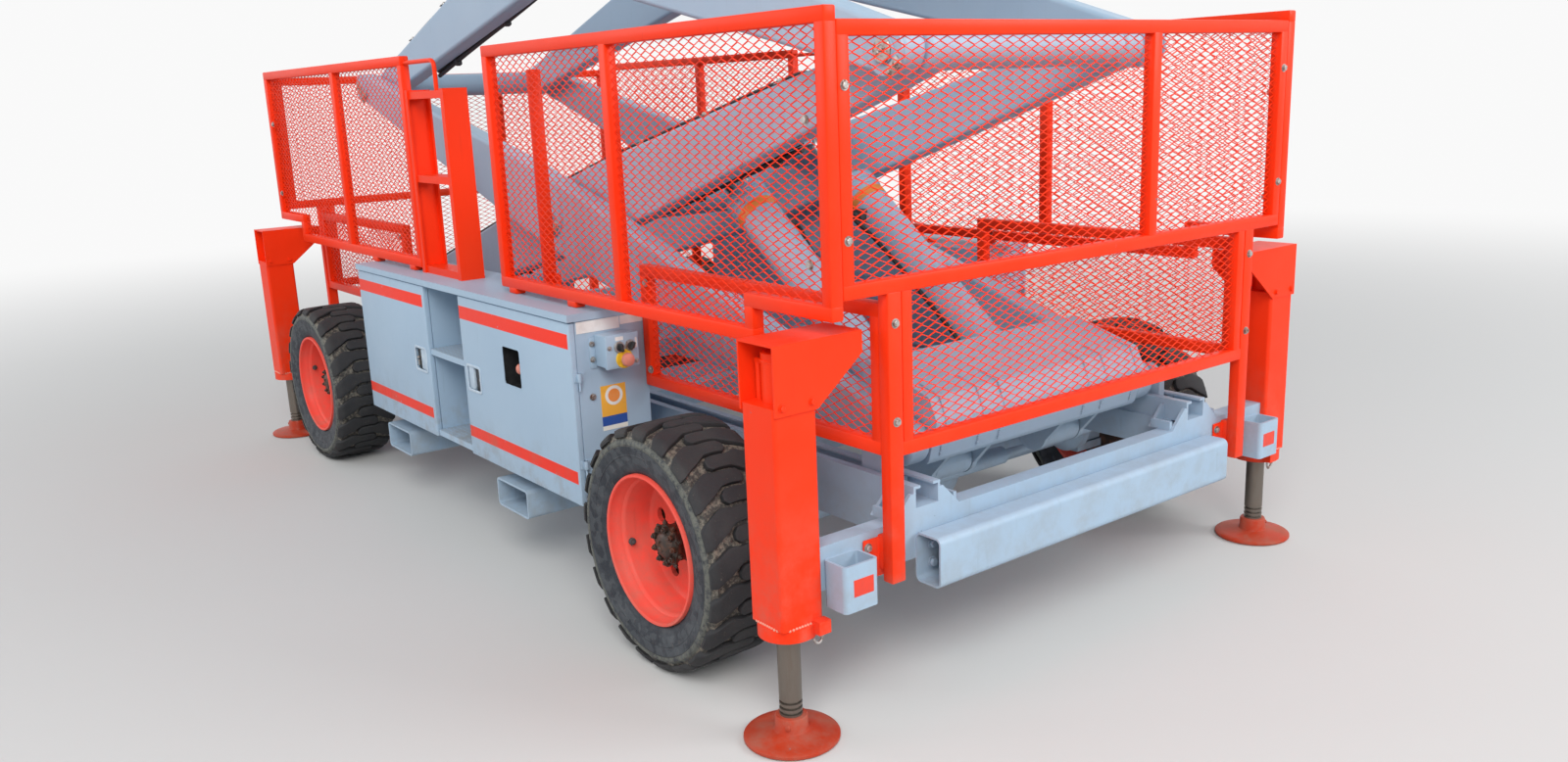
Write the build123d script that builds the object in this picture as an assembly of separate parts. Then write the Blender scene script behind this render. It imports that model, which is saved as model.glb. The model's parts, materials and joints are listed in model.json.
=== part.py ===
from build123d import *
import math
import os

# Rough terrain scissor lift. Millimetres, +Z up.
# +X is the front, -Y is the right-hand side, the origin is on the ground at the middle.

# Wheels
wheel_x = 1575          # axle centres, front and rear
wheel_y = 1060          # middle of each tyre
tyre_od = 770
tyre_width = 285
rim_dia = 477
rim_wall = 12
hub_radius = 95
hub_reach = 62          # how far the hub stands out of the wheel disc
disc_thick = 16
disc_inset = 104        # from the rim's outer edge in to the disc
rim_edge = 130          # half width of the rim
rim_drop = 16           # depth of the rim's well
hand_holes = 5
hand_hole_radius = 24
hand_hole_pitch = 152
lugs = 15               # on each side of the tread
lug_depth = 26
lug_sink = 6            # how far the lugs' feet reach into the carcass
lug_flat = 5.1          # their flat tops lie this much inside the tyre's radius
lug_phase = -2.73       # sets a lug's corner on the ground
bead_gap = 0.3

# Axles and steering
axle_radius = 62
axle_end_y = 800
dome_radius = 98
bowl_radius = 110
bowl_half = 95
tie_x = 150              # steering rod, ahead of the axle
tie_radius = 16
tie_arm_thick = 26
tie_eye_radius = 30
tie_gap = 3
kingpin_y = 880
kingpin_radius = 24
kingpin_clear = 0.1
spindle_radius = 44
spindle_clear = 0.1

# Chassis
rail_in = 590           # inner face of each rail
rail_out = 700
rail_low = 455
rail_high = 560
belly_low = 332
belly_x = 1150
beam_out_x = wheel_x + 665   # outer face of the end cross beams
beam_thick = 60
beam_in_x = beam_out_x - beam_thick
beam_low = 420
beam_high = 545
beam_y = 1060
cross_member_x = (-1000, 0, 1000)
cross_member_half = 45
cross_member_low = 345
cross_member_high = 440
bumper_deep = 100
bumper_reach = beam_out_x + bumper_deep
bumper_half = 698
bumper_low = 351
bumper_high = 500
bumper_wall = 6
bumper_corner = 20
pocket_wall = 8
pocket_corner = 14
stake_in_y = 920
stake_out_y = 1040
stake_low = 376
stake_high = 508
stake_deep = 90
stake_out_x = beam_out_x + stake_deep

# Roller tracks
track_y = 650
track_width = 104
track_high = 632
track_wall = 8
track_slot = 50
track_rear_x = 60
track_front_x = beam_out_x

# Fork pockets
fork_low = 220
fork_high = 332
fork_wall = 8
fork_corner = 18
fork_front = (375, 630)
fork_rear = (-765, -504)

# Outriggers
leg_back = 49            # leg's middle, back from the beam's outer face
leg_x = beam_out_x - leg_back
leg_y = 1130
leg_side = 140
leg_corner = 12
leg_low = 350
leg_high = 955
hood_high = 1119
hood_sheet = 5
hood_in_y = 905
hood_lip = 6
collar_radius = 82
collar_low = 313
rod_radius = 32
rod_clear = 0.1
pad_radius = 134
pad_thick = 23
pad_edge = 12
pad_ground = 2
socket_radius = 45
socket_high = 70
leg_stop = 8              # left between socket and collar with the foot right up
rod_spare = 20
leg_lift = collar_low - socket_high - leg_stop
rod_high = leg_high - leg_lift - rod_spare
cylinder_cap_radius = 42
cylinder_cap_drop = 35
handle_radius = 8
handle_drop = 60
collar_ear = 30

# Scissor stack
levels = 4
arm_length = 4294       # pin to pin
arm_depth = 300         # at the middle
arm_end_radius = 70
arm_flat = 300          # half length of the parallel middle
arm_corner = 16
beam_corner = 14
rest_angle = 15.4
fold_angle = 4.3
raise_angle = 55
pin_low_z = 690
pin_rear_x = 140 - beam_out_x
outer_in = 500          # inner face of the outer arms
outer_out = 590
inner_in = 395
inner_out = 485
pin_radius = 38
pin_clear = 0.1
pin_end = 606
boss_radius = 88
boss_thick = 8
tube_radius = 60
stay_back = 700          # top inner arms' stay, from their top end and below their middle line
stay_drop = 75
stay_radius = 45
bracket_out = 545
bracket_radius = 75

# Shoes of the lowest outer arms
shoe_pin_radius = 28
shoe_half = 80
shoe_clear = 4
pillar_thick = 30
pillar_top = 45

# Lift cylinders
cyl_y = 270
cyl_foot_u = 78.5       # lower pin, along and across the lowest outer arm from its shoe pin
cyl_foot_v = -166.8
cyl_head_s = 2889       # upper pin, along and across the lowest inner arm from its low pin
cyl_head_n = 96
cyl_radius = 78
cyl_rod_radius = 48
cyl_pin_radius = 30
cyl_eye_radius = 60
cyl_foot_half = 78
cyl_head_half = 45
cyl_ear_gap = 5
cyl_ear_thick = 20
cyl_barrel = 1285
cyl_bore_start = 75
cyl_rod_start = 335       # inner end of the rod, as parked
cyl_carrier_back = 300

# Cabinets
cab_in = 830
cab_out = 1124
cab_rear = 645 - wheel_x
cab_front = wheel_x - 517
cab_low = 380
cab_high = 1043
cab_wall = 5
cab_face = 1101         # front edges of the cabinet's walls, behind the doors
bay_rear = -174
bay_front = 165
lid_over = 6
lid_thick = 25
door_seal = 0.3
door_edge = 3            # how far each door stops short of its locker's corners
door_lip = 5             # below the lid's underside
door_corner = 6
hinge_radius = 8
hinge_from_low = 130
hinge_from_top = 230
hinge_pin_radius = 4
hinge_height = 60
hinge_leaf = 3
hinge_reach = 24
hinge_gap = 0.3
tread_low = 385
tread_mid = 730
tread_thick = 25
window = (300, 420, 740, 880)
window_corner = 28
latch_z = 690
latch_wide = 56
latch_high = 110
latch_deep = 10
latch_from_edge = 60
box_deep = 90            # ground control box
box_y = (-1075, -915)
box_z = (800, 950)
box_flange = 14
engine = (260, 960)
engine_high = 950
engine_clear = 15

# Guards
side_guard_y = 1019
end_guard_x = beam_out_x + 48
guard_tube = 40
side_guard_low = 1082
guard_high = 1928
guard_step_low = 1179
guard_step_x = end_guard_x - 318
side_guard_front = 394
side_guard_rear = 380
mesh_thick = 4
end_guard_low = 1208
end_guard_high = 1876
post_y = 825
post_width = 50
post_foot_z = 400
lower_mesh_z = 760
guard_post_back = 120    # middle upright of a side guard, back from its middle
guard_foot_x = (454, 900)
guard_foot_wide = 60
end_post_y = (260, 300)

# Boarding ladder
ladder_rear = -380
ladder_front = 15
ladder_out = 1034
ladder_in = 934
ladder_top = 1791
ladder_sheet = 8
ladder_flange = 30
ladder_treads = (1043, 1420, 1755)
ladder_tread_thick = 30

# Platform
deck_overhang = 150      # past the rear pins
deck_half_x = deck_overhang - pin_rear_x
deck_half_y = 1100
deck_above_pin = 85
deck_frame_high = 110
deck_plate = 12
deck_sheet = 3           # tread sheet on the deck, inside the rails
deck_sheet_edge = 6
joist_wide = 50
joist_x = (-700, 700)
hanger_half = 60         # plates that carry the platform's rear pins
hanger_thick = 30
hanger_gap = 12
rail_height = 1100
rail_tube = 38
mid_rail = 560
toe_board = 150
roller_radius = 46
roller_in = 332
roller_out = 385
channel_web = 8
channel_flange = 8
roller_gap = 2
runner_high = 8
runner_gap = 0.3
runner_y = 960
runner_width = 40
ext_rear_x = 900
ext_front_over = 20
ext_side_gap = 12
ext_plate = 30
ext_rail_drop = 60
ext_post_x = 1500
gate_x0 = -1500
gate_x1 = -800
gate_gap = 8
gate_low = 10            # above the deck
gate_hinge_up = (220, 820)
right_posts = (200, 1200)
left_posts = (-1200, -150, 900)
rear_posts = (-300, 300)
console_x = (400, 660)
console_deep = 140
console_down = 180
console_up = 20

axle_z = tyre_od / 2
half_arm = arm_length / 2
rest_cos = math.cos(math.radians(rest_angle))
rest_sin = math.sin(math.radians(rest_angle))
pin_front_x = pin_rear_x + arm_length * rest_cos
rise = arm_length * rest_sin
pin_top_z = pin_low_z + levels * rise


def block(x0, x1, y0, y1, z0, z1):
    """Rectangular block between two corners."""
    size = Box(abs(x1 - x0), abs(y1 - y0), abs(z1 - z0))
    return Pos((x0 + x1) / 2, (y0 + y1) / 2, (z0 + z1) / 2) * size


def bar_y(x, z, y0, y1, radius):
    """Round bar along Y."""
    return Pos(x, (y0 + y1) / 2, z) * Rot(90, 0, 0) * Cylinder(radius, abs(y1 - y0))


def bar_x(y, z, x0, x1, radius):
    """Round bar along X."""
    return Pos((x0 + x1) / 2, y, z) * Rot(0, 90, 0) * Cylinder(radius, abs(x1 - x0))


def bar_z(x, y, z0, z1, radius):
    """Round bar along Z."""
    return Pos(x, y, (z0 + z1) / 2) * Cylinder(radius, z1 - z0)


def plate_xz(points, y0, y1):
    """Flat plate with an outline in the XZ plane, from y0 to y1."""
    outline = make_face(Polyline(*points, close=True))
    plane = Plane(origin=(0, y0, 0), x_dir=(1, 0, 0), z_dir=(0, -1, 0))
    return extrude(plane * outline, amount=y0 - y1)


def plate_yz(points, x0, x1):
    """Flat plate with an outline in the YZ plane, from x0 to x1."""
    outline = make_face(Polyline(*points, close=True))
    plane = Plane(origin=(x0, 0, 0), x_dir=(0, 1, 0), z_dir=(1, 0, 0))
    return extrude(plane * outline, amount=x1 - x0)


def turned(section, x, y):
    """Solid of revolution about a wheel's axis; each point is (radius, distance along Y)."""
    profile = make_face(Polyline(*[(radius, along, 0) for radius, along in section], close=True))
    return Pos(x, y, axle_z) * revolve(profile, Axis.Y)


def rounded(shape, axis, radius):
    """The block with its four edges along one axis rounded."""
    return fillet(shape.edges().filter_by(axis), radius)


def left(shape):
    """The same shape on the other side, mirrored in the XZ plane."""
    return mirror(shape, about=Plane.XZ)


def rear(shape):
    """The same shape at the other end, mirrored in the YZ plane."""
    return mirror(shape, about=Plane.YZ)


def both_sides(shape):
    return [shape, left(shape)]


def both_ends(shape):
    return [shape, rear(shape)]


def four_corners(shape):
    return both_sides(shape) + both_sides(rear(shape))


def fuse(pieces):
    body = pieces[0]
    for piece in pieces[1:]:
        body = body + piece
    return body


def meets(one, other):
    """Whether two shapes' bounding boxes reach each other."""
    a = one.bounding_box()
    b = other.bounding_box()
    return (a.min.X < b.max.X and b.min.X < a.max.X and a.min.Y < b.max.Y and b.min.Y < a.max.Y
            and a.min.Z < b.max.Z and b.min.Z < a.max.Z)


def welded(*pieces):
    """Plates and tubes that meet face to face, each one cut back to those before it."""
    seated = []
    for piece in pieces:
        for other in [solid for solid in seated if meets(piece, solid)]:
            piece = Compound(children=(piece - other).solids())
        seated.extend(piece.solids())
    return seated


def mirrored(pieces):
    """The pieces and their twins on the other side."""
    return [twin for piece in pieces for twin in both_sides(piece)]


def keep(node, *pieces):
    """Write one node, whose pieces are separate solids."""
    solids = []
    for piece in pieces:
        solids.extend(piece.solids())
    shape = solids[0] if len(solids) == 1 else Compound(children=solids)
    export_step(shape, f"parts/{node}.step")


os.makedirs("parts", exist_ok=True)

# Chassis: rails, belly, cross members, end beams, bumpers, tracks and brackets
rail = block(-beam_in_x, beam_in_x, -rail_out, -rail_in, rail_low, rail_high)
belly = block(-belly_x, belly_x, -rail_out, -rail_in, belly_low, rail_low)
track = block(track_rear_x, track_front_x, -track_y - track_width / 2, -track_y + track_width / 2,
              rail_high, track_high)
track -= block(track_rear_x, track_front_x, -track_y - track_width / 2 + track_wall,
               -track_y + track_width / 2 - track_wall, rail_high + track_wall, track_high - track_wall)
track -= block(track_rear_x, track_front_x, -track_y - track_slot / 2, -track_y + track_slot / 2,
               track_high - track_wall, track_high)
pin_bracket = block(pin_rear_x - bracket_radius, pin_rear_x + bracket_radius, -bracket_out, -outer_in,
                    rail_high, pin_low_z)
pin_bracket += bar_y(pin_rear_x, pin_low_z, -bracket_out, -outer_in, bracket_radius)
pin_bracket += block(pin_rear_x - bracket_radius, pin_rear_x + bracket_radius, -rail_in, -outer_in,
                     rail_low, rail_high)
pin_bracket -= bar_y(pin_rear_x, pin_low_z, -bracket_out, -outer_in, pin_radius + pin_clear)
stake = rounded(block(beam_out_x, stake_out_x, -stake_out_y, -stake_in_y, stake_low, stake_high),
                Axis.Z, pocket_corner)
stake -= rounded(block(beam_out_x + pocket_wall, stake_out_x - pocket_wall, -stake_out_y + pocket_wall,
                       -stake_in_y - pocket_wall, stake_low, stake_high), Axis.Z, pocket_corner - pocket_wall)
bumper = rounded(block(beam_out_x, bumper_reach, -bumper_half, bumper_half, bumper_low, bumper_high),
                 Axis.Y, bumper_corner)
bumper -= rounded(block(beam_out_x + bumper_wall, bumper_reach - bumper_wall, -bumper_half, bumper_half,
                        bumper_low + bumper_wall, bumper_high - bumper_wall), Axis.Y, bumper_corner - bumper_wall)
end_beam = block(beam_in_x, beam_out_x, -beam_y, beam_y, beam_low, beam_high)

# Gussets: two slanted plates round each track's front end, and two along it
gusset_top = track_width / 2 + 12
gusset_foot = 130
gusset_thick = 12
gusset_back = 40
gusset_strip = 30
gusset_top_z = track_high - 20
track_room = block(beam_in_x - gusset_back, track_front_x, -track_y - track_width / 2,
                    -track_y + track_width / 2, rail_high, track_high)
gussets = []
for gusset_x in (beam_out_x - gusset_thick, beam_in_x - gusset_back):
    plate = plate_yz([(-track_y - gusset_top, gusset_top_z), (-track_y + gusset_top, gusset_top_z),
                      (-track_y + gusset_foot, beam_high), (-track_y - gusset_foot, beam_high)],
                     gusset_x, gusset_x + gusset_thick)
    gussets += list((plate - track_room).solids())
for y in (-track_y - gusset_foot, -track_y + gusset_foot - gusset_thick):
    gussets.append(block(beam_in_x - gusset_back + gusset_thick, beam_out_x - gusset_thick,
                         y, y + gusset_thick, beam_high, beam_high + gusset_strip))

bearer_x = (-800, 0, 900)
bearers = [block(x - cross_member_half, x + cross_member_half, -cab_in, -rail_out, rail_low, rail_high)
           for x in bearer_x]
cross_members = [block(x - cross_member_half, x + cross_member_half, -rail_in, rail_in,
                       cross_member_low, cross_member_high) for x in cross_member_x]
rear_member = block(pin_rear_x - bracket_radius, pin_rear_x + bracket_radius, -outer_in, outer_in,
                    rail_low, rail_high)
chassis = both_ends(end_beam) + [rear_member] + mirrored([rail, belly, track, pin_bracket] + bearers + gussets)
chassis += cross_members + both_ends(bumper) + four_corners(stake)
keep("chassis_frame", *welded(*chassis))

# Fork pockets, right across under the belly
fork_pockets = []
for x0, x1 in (fork_front, fork_rear):
    pocket = rounded(block(x0, x1, -cab_out, cab_out, fork_low, fork_high), Axis.Y, fork_corner)
    pocket -= rounded(block(x0 + fork_wall, x1 - fork_wall, -cab_out, cab_out,
                            fork_low + fork_wall, fork_high - fork_wall), Axis.Y, fork_corner - fork_wall)
    fork_pockets.append(pocket)
keep("fork_pockets", *fork_pockets)

# Outriggers: a square leg with a folded hood, and a foot that slides down out of it
half_leg = leg_side / 2
leg = rounded(block(leg_x - half_leg, leg_x + half_leg, -leg_y - half_leg, -leg_y + half_leg, leg_low, leg_high),
              Axis.Z, leg_corner)
leg += bar_z(leg_x, -leg_y, collar_low, leg_low, collar_radius)
leg -= bar_z(leg_x, -leg_y, collar_low, leg_high, rod_radius + rod_clear)
hood_rear_x = leg_x - half_leg - hood_lip
hood_front_x = leg_x + half_leg + hood_lip
hood_outer_y = -leg_y - half_leg
side_outline = [(hood_outer_y, leg_high - 20), (-leg_y + half_leg, leg_high - 20),
                (-hood_in_y, hood_high - 60), (-hood_in_y, hood_high), (hood_outer_y, hood_high)]
hood = plate_yz(side_outline, hood_rear_x, hood_rear_x + hood_lip)
hood += plate_yz(side_outline, hood_front_x - hood_lip, hood_front_x)
hood += block(hood_rear_x, hood_front_x, hood_outer_y, -hood_in_y, hood_high - hood_sheet, hood_high)
leg += hood
leg += bar_z(leg_x, -leg_y, leg_high, hood_high - cylinder_cap_drop, cylinder_cap_radius)
handle_x = leg_x - cylinder_cap_radius - 12
handle_y = -leg_y - 20
handle_z = hood_high - handle_drop
leg += bar_z(handle_x, handle_y, leg_high, handle_z, handle_radius)
leg += bar_x(handle_y, handle_z, handle_x - handle_radius, leg_x, handle_radius)
leg += block(leg_x + half_leg, leg_x + half_leg + collar_ear, -leg_y + collar_ear, -leg_y + half_leg,
             collar_low + 10, leg_low + 10)
keep("outrigger_legs", *four_corners(leg))

foot = bar_z(leg_x, -leg_y, pad_ground, rod_high, rod_radius)
foot += bar_z(leg_x, -leg_y, pad_ground, pad_ground + pad_edge, pad_radius)
foot += Pos(leg_x, -leg_y, pad_ground + pad_edge + (pad_thick - pad_edge) / 2) * Cone(
    pad_radius, socket_radius + 20, pad_thick - pad_edge)
foot += bar_z(leg_x, -leg_y, pad_ground, socket_high, socket_radius)
corner_names = ("front_right", "front_left", "rear_right", "rear_left")
for name, shape in zip(corner_names, four_corners(foot)):
    keep(f"outrigger_foot_{name}", shape)

# Axles
spindle_end = wheel_y + 40
spindle = bar_y(wheel_x, axle_z, -spindle_end, -kingpin_y - 30, spindle_radius)
front_axle = bar_y(wheel_x, axle_z, -axle_end_y, axle_end_y, axle_radius)
yoke_half = 100
yoke = block(wheel_x - 55, wheel_x + 55, -kingpin_y - 45, -axle_end_y + 20, axle_z - yoke_half, axle_z + yoke_half)
yoke -= block(wheel_x - 55, wheel_x + 55, -kingpin_y - 45, -axle_end_y, axle_z - 70, axle_z + 70)
yoke += bar_z(wheel_x, -kingpin_y, axle_z - yoke_half, axle_z - 60, kingpin_radius)
yoke += bar_z(wheel_x, -kingpin_y, axle_z + 60, axle_z + yoke_half, kingpin_radius)
hanger = block(wheel_x - 80, wheel_x + 80, -rail_out, -rail_in, axle_z + 40, rail_low)
end_housing = turned([(0, -axle_end_y), (dome_radius, -axle_end_y), (dome_radius, -axle_end_y + 45),
                      (axle_radius, -rail_out - 5), (0, -rail_out - 5)], wheel_x, 0)
bowl = turned([(0, -bowl_half), (bowl_radius - 35, -bowl_half), (bowl_radius, -bowl_half + 45),
               (bowl_radius, bowl_half - 45), (bowl_radius - 35, bowl_half), (0, bowl_half)], wheel_x, 0)
front_axle = fuse([front_axle, bowl] + both_sides(yoke) + both_sides(hanger) + both_sides(end_housing))
keep("front_axle", front_axle)
rear_axle = bar_y(-wheel_x, axle_z, -axle_end_y, axle_end_y, axle_radius)
rear_axle = fuse([rear_axle] + both_sides(rear(hanger)))
rear_hub = bar_y(-wheel_x, axle_z, -kingpin_y - 40, -axle_end_y, 95)
rear_axle = fuse([rear_axle] + both_sides(rear_hub) + both_sides(rear(spindle)))
keep("rear_axle", rear_axle)

knuckle = block(wheel_x - 50, wheel_x + 50, -kingpin_y - 42, -kingpin_y + 42, axle_z - 65, axle_z + 65)
knuckle -= bar_z(wheel_x, -kingpin_y, axle_z - 65, axle_z + 65, kingpin_radius + kingpin_clear)
knuckle += bar_y(wheel_x, axle_z, -kingpin_y - 62, -kingpin_y - 30, 64)
knuckle += spindle
arm_top = axle_z + tie_arm_thick / 2
knuckle += block(wheel_x + 40, wheel_x + tie_x, -kingpin_y - tie_eye_radius, -kingpin_y + tie_eye_radius,
                 axle_z - tie_arm_thick / 2, arm_top)
knuckle += bar_z(wheel_x + tie_x, -kingpin_y, axle_z - tie_arm_thick / 2, arm_top, tie_eye_radius)
for name, shape in zip(("right", "left"), both_sides(knuckle)):
    keep(f"knuckle_{name}", shape)

# Steering rod across the front, over the two knuckles' arms
tie_z = arm_top + tie_gap + tie_arm_thick / 2
tie_rod = bar_y(wheel_x + tie_x, tie_z, -kingpin_y, kingpin_y, tie_radius)
for side in (-1, 1):
    tie_rod += bar_z(wheel_x + tie_x, side * kingpin_y, arm_top + tie_gap, arm_top + tie_gap + tie_arm_thick,
                     tie_eye_radius)
tie_rod += bar_y(wheel_x + tie_x, tie_z, -230, 230, 32)
keep("steering_rod", tie_rod)

# Wheels: one tyre and one rim, turned about the spindle
half_width = tyre_width / 2
rim_radius = rim_dia / 2
carcass_radius = tyre_od / 2 - lug_depth
bead = half_width - 25
tyre_section = [(rim_radius + bead_gap, -bead), (300, -half_width + 5), (330, -half_width), (340, -half_width + 8),
                (carcass_radius, -half_width + 24), (carcass_radius, half_width - 24), (340, half_width - 8),
                (330, half_width), (300, half_width - 5), (rim_radius + bead_gap, bead)]
disc_face = -rim_edge + disc_inset
rim_inner = rim_radius - rim_wall
well = rim_inner - rim_drop
boss_half = 70
rim_section = [(rim_radius, -rim_edge), (rim_radius, rim_edge), (rim_inner, rim_edge), (well, rim_edge - 40),
               (well, disc_face + disc_thick), (hub_radius, disc_face + disc_thick), (hub_radius, boss_half),
               (spindle_radius + spindle_clear, boss_half), (spindle_radius + spindle_clear, -boss_half + 10),
               (0, -boss_half + 10), (0, disc_face - hub_reach), (hub_radius - 20, disc_face - hub_reach),
               (hub_radius - 12, disc_face), (well, disc_face), (well, -rim_edge + 52), (rim_inner, -rim_edge + 30),
               (rim_inner, -rim_edge)]


def lug(turn, side):
    """One hooked lug of the tread; its points are (around, across from the tread's middle)."""
    hook = [(-52, 16), (50, 2), (56, -64), (-4, -half_width + 6), (-62, -half_width + 6), (-34, -70)]
    outline = make_face(Polyline(*[(around, side * across) for around, across in hook], close=True))
    foot = Plane(origin=(0, 0, carcass_radius - lug_sink), x_dir=(1, 0, 0), z_dir=(0, 0, 1))
    return Rot(0, turn, 0) * extrude(foot * outline, amount=lug_depth + lug_sink - lug_flat)


tyre = turned(tyre_section, wheel_x, -wheel_y)
wheel_middle = Pos(wheel_x, -wheel_y, axle_z)
for number in range(lugs):
    turn = number * 360 / lugs + lug_phase
    tyre += wheel_middle * lug(turn, 1)
    tyre += wheel_middle * lug(turn + 180 / lugs, -1)
rim = turned(rim_section, wheel_x, -wheel_y)
for number in range(hand_holes):
    turn = math.radians(number * 360 / hand_holes + 20)
    rim -= bar_y(wheel_x + hand_hole_pitch * math.cos(turn), axle_z + hand_hole_pitch * math.sin(turn),
                 -wheel_y - rim_edge, -wheel_y + boss_half, hand_hole_radius)
for name, tyre_shape, rim_shape in zip(corner_names, four_corners(tyre), four_corners(rim)):
    keep(f"tyre_{name}", tyre_shape)
    keep(f"rim_{name}", rim_shape)

# Cabinets: sheet panels around two lockers, with an open step bay between them and a lid over all
panel_high = cab_high - lid_thick
back_y = -cab_in - cab_wall
panels = [block(cab_rear - lid_over, cab_front + lid_over, -cab_out - lid_over, -cab_in, panel_high, cab_high),
          block(cab_rear, cab_front, back_y, -cab_in, cab_low, panel_high)]
for x in (cab_rear, bay_rear - cab_wall, bay_front, cab_front - cab_wall):
    panels.append(block(x, x + cab_wall, -cab_face, back_y, cab_low, panel_high))
for x0, x1 in ((cab_rear, bay_rear), (bay_front, cab_front)):
    panels.append(block(x0, x1, -cab_face, back_y, cab_low, cab_low + cab_wall))
for z in (tread_low, tread_mid):
    panels.append(block(bay_rear, bay_front, -cab_out + 8, back_y, z, z + tread_thick))


def hinge(face_x, z, outward):
    """Two halves of a hinge at a cabinet's corner, the fixed one and the door's; outward is +1 at the front."""
    axis_x = face_x + outward * (hinge_radius + hinge_gap)
    leaf_x = face_x + outward * hinge_leaf
    half_z = z + hinge_height / 2
    top_z = z + hinge_height
    fixed = bar_z(axis_x, -cab_face, z, half_z, hinge_radius)
    fixed += block(face_x, leaf_x, -cab_face, -cab_face + hinge_reach, z, half_z)
    fixed -= bar_z(axis_x, -cab_face, z, half_z, hinge_pin_radius + pin_clear)
    moving = bar_z(axis_x, -cab_face, half_z + hinge_gap, top_z, hinge_radius)
    moving += block(face_x, leaf_x, -cab_out + door_corner, -cab_face, half_z + hinge_gap, top_z)
    moving += bar_z(axis_x, -cab_face, z, top_z, hinge_pin_radius)
    return fixed, moving


hinge_z = (cab_low + hinge_from_low, cab_high - hinge_from_top)
rear_hinges = [hinge(cab_rear, z, -1) for z in hinge_z]
front_hinges = [hinge(cab_front, z, 1) for z in hinge_z]
panels += [fixed for fixed, moving in rear_hinges + front_hinges]
cabinet = welded(*panels)
keep("cabinet_right", *cabinet)
keep("cabinet_left", *[left(piece) for piece in cabinet])


def door(x0, x1, latch_x):
    """Door over a whole locker's front, with a recess for its latch."""
    panel = rounded(block(x0, x1, -cab_out, -cab_face - door_seal, cab_low, panel_high - door_lip),
                    Axis.Z, door_corner)
    recess = block(latch_x - latch_wide / 2, latch_x + latch_wide / 2, -cab_out, -cab_out + latch_deep,
                   latch_z, latch_z + latch_high)
    return panel - rounded(recess, Axis.Y, 20)


rear_door = door(cab_rear, bay_rear - door_edge, bay_rear - latch_from_edge)
front_door = door(bay_front + door_edge, cab_front, bay_front + latch_from_edge)
window_hole = block(window[0], window[1], -cab_out, -cab_face, window[2], window[3])
front_door -= rounded(window_hole, Axis.Y, window_corner)
rear_door = fuse([rear_door] + [moving for fixed, moving in rear_hinges])
front_door = fuse([front_door] + [moving for fixed, moving in front_hinges])
for name, shape in zip(("right", "left"), both_sides(rear_door)):
    keep(f"door_rear_{name}", shape)
for name, shape in zip(("right", "left"), both_sides(front_door)):
    keep(f"door_front_{name}", shape)

# Ground control box on the front end of the right cabinet, with its flanges, two switches and a stop button
box_front = cab_front + box_deep
box_mid_y = sum(box_y) / 2
control_box = rounded(block(cab_front, box_front, box_y[0], box_y[1], box_z[0], box_z[1]), Axis.X, 8)
control_box += block(cab_front, cab_front + 4, box_y[0], box_y[1], box_z[0] - box_flange, box_z[1] + box_flange)
for y, z in ((box_mid_y - 40, box_z[1] - 45), (box_mid_y + 40, box_z[1] - 45)):
    control_box += bar_x(y, z, box_front, box_front + 8, 19)
    control_box += block(box_front, box_front + 26, y - 4, y + 4, z - 17, z + 17)
control_box += bar_x(box_mid_y, box_z[0] + 50, box_front, box_front + 4, 32)
control_box += bar_x(box_mid_y, box_z[0] + 50, box_front, box_front + 24, 12)
control_box += bar_x(box_mid_y, box_z[0] + 50, box_front + 24, box_front + 38, 20)
keep("control_box", control_box)

# Engine and pump inside the left cabinet's front locker
keep("power_pack", block(engine[0], engine[1], cab_in + engine_clear, cab_face - engine_clear,
                         cab_low + cab_wall, engine_high))

# Side guards: a frame of square tube with a sheet of mesh in its middle
half_tube = guard_tube / 2


def side_guard(x0, x1):
    y0 = -side_guard_y - half_tube
    y1 = -side_guard_y + half_tube
    low = side_guard_low - half_tube
    low_front = guard_step_low - half_tube
    top = guard_high - guard_tube
    step = guard_step_x
    middle = (x0 + x1) / 2 - guard_post_back
    tubes = [block(x0, x1, y0, y1, top, guard_high)]
    tubes += [block(x, x + guard_tube, y0, y1, low, top) for x in (x0, middle, step - guard_tube)]
    tubes.append(block(x1 - guard_tube, x1, y0, y1, low_front, top))
    tubes[-2] = block(step - guard_tube, step, y0, y1, low, low_front + guard_tube)
    tubes.append(block(x0, step, y0, y1, low, low + guard_tube))
    tubes.append(block(step, x1, y0, y1, low_front, low_front + guard_tube))
    tubes += [block(x, x + guard_foot_wide, y0, y1, cab_high, low) for x in guard_foot_x]
    sheet_y = -side_guard_y - mesh_thick / 2
    sheets = [block(x0, step - guard_tube, sheet_y, sheet_y + mesh_thick, low, top),
              block(step - guard_tube, x1, sheet_y, sheet_y + mesh_thick, low_front, top)]
    return welded(*tubes, *sheets)


front_side = side_guard(side_guard_front, end_guard_x + half_tube)
rear_side = [rear(piece) for piece in side_guard(side_guard_rear, end_guard_x + half_tube)]
keep("side_guards", *mirrored(front_side + rear_side))

# End guards: an upper panel on two corner posts, a lower panel between the posts, and two small side panels
end_x = end_guard_x
tube_in = end_x - half_tube
tube_out = end_x + half_tube
end_half = side_guard_y - half_tube
end_top = end_guard_high + half_tube
post_in = -post_y + post_width / 2
post_out = -post_y - post_width / 2
panel_back = cab_front + lid_over


def sheet_x(y0, y1, z0, z1):
    return block(end_x - mesh_thick / 2, end_x + mesh_thick / 2, y0, y1, z0, z1)


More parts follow.
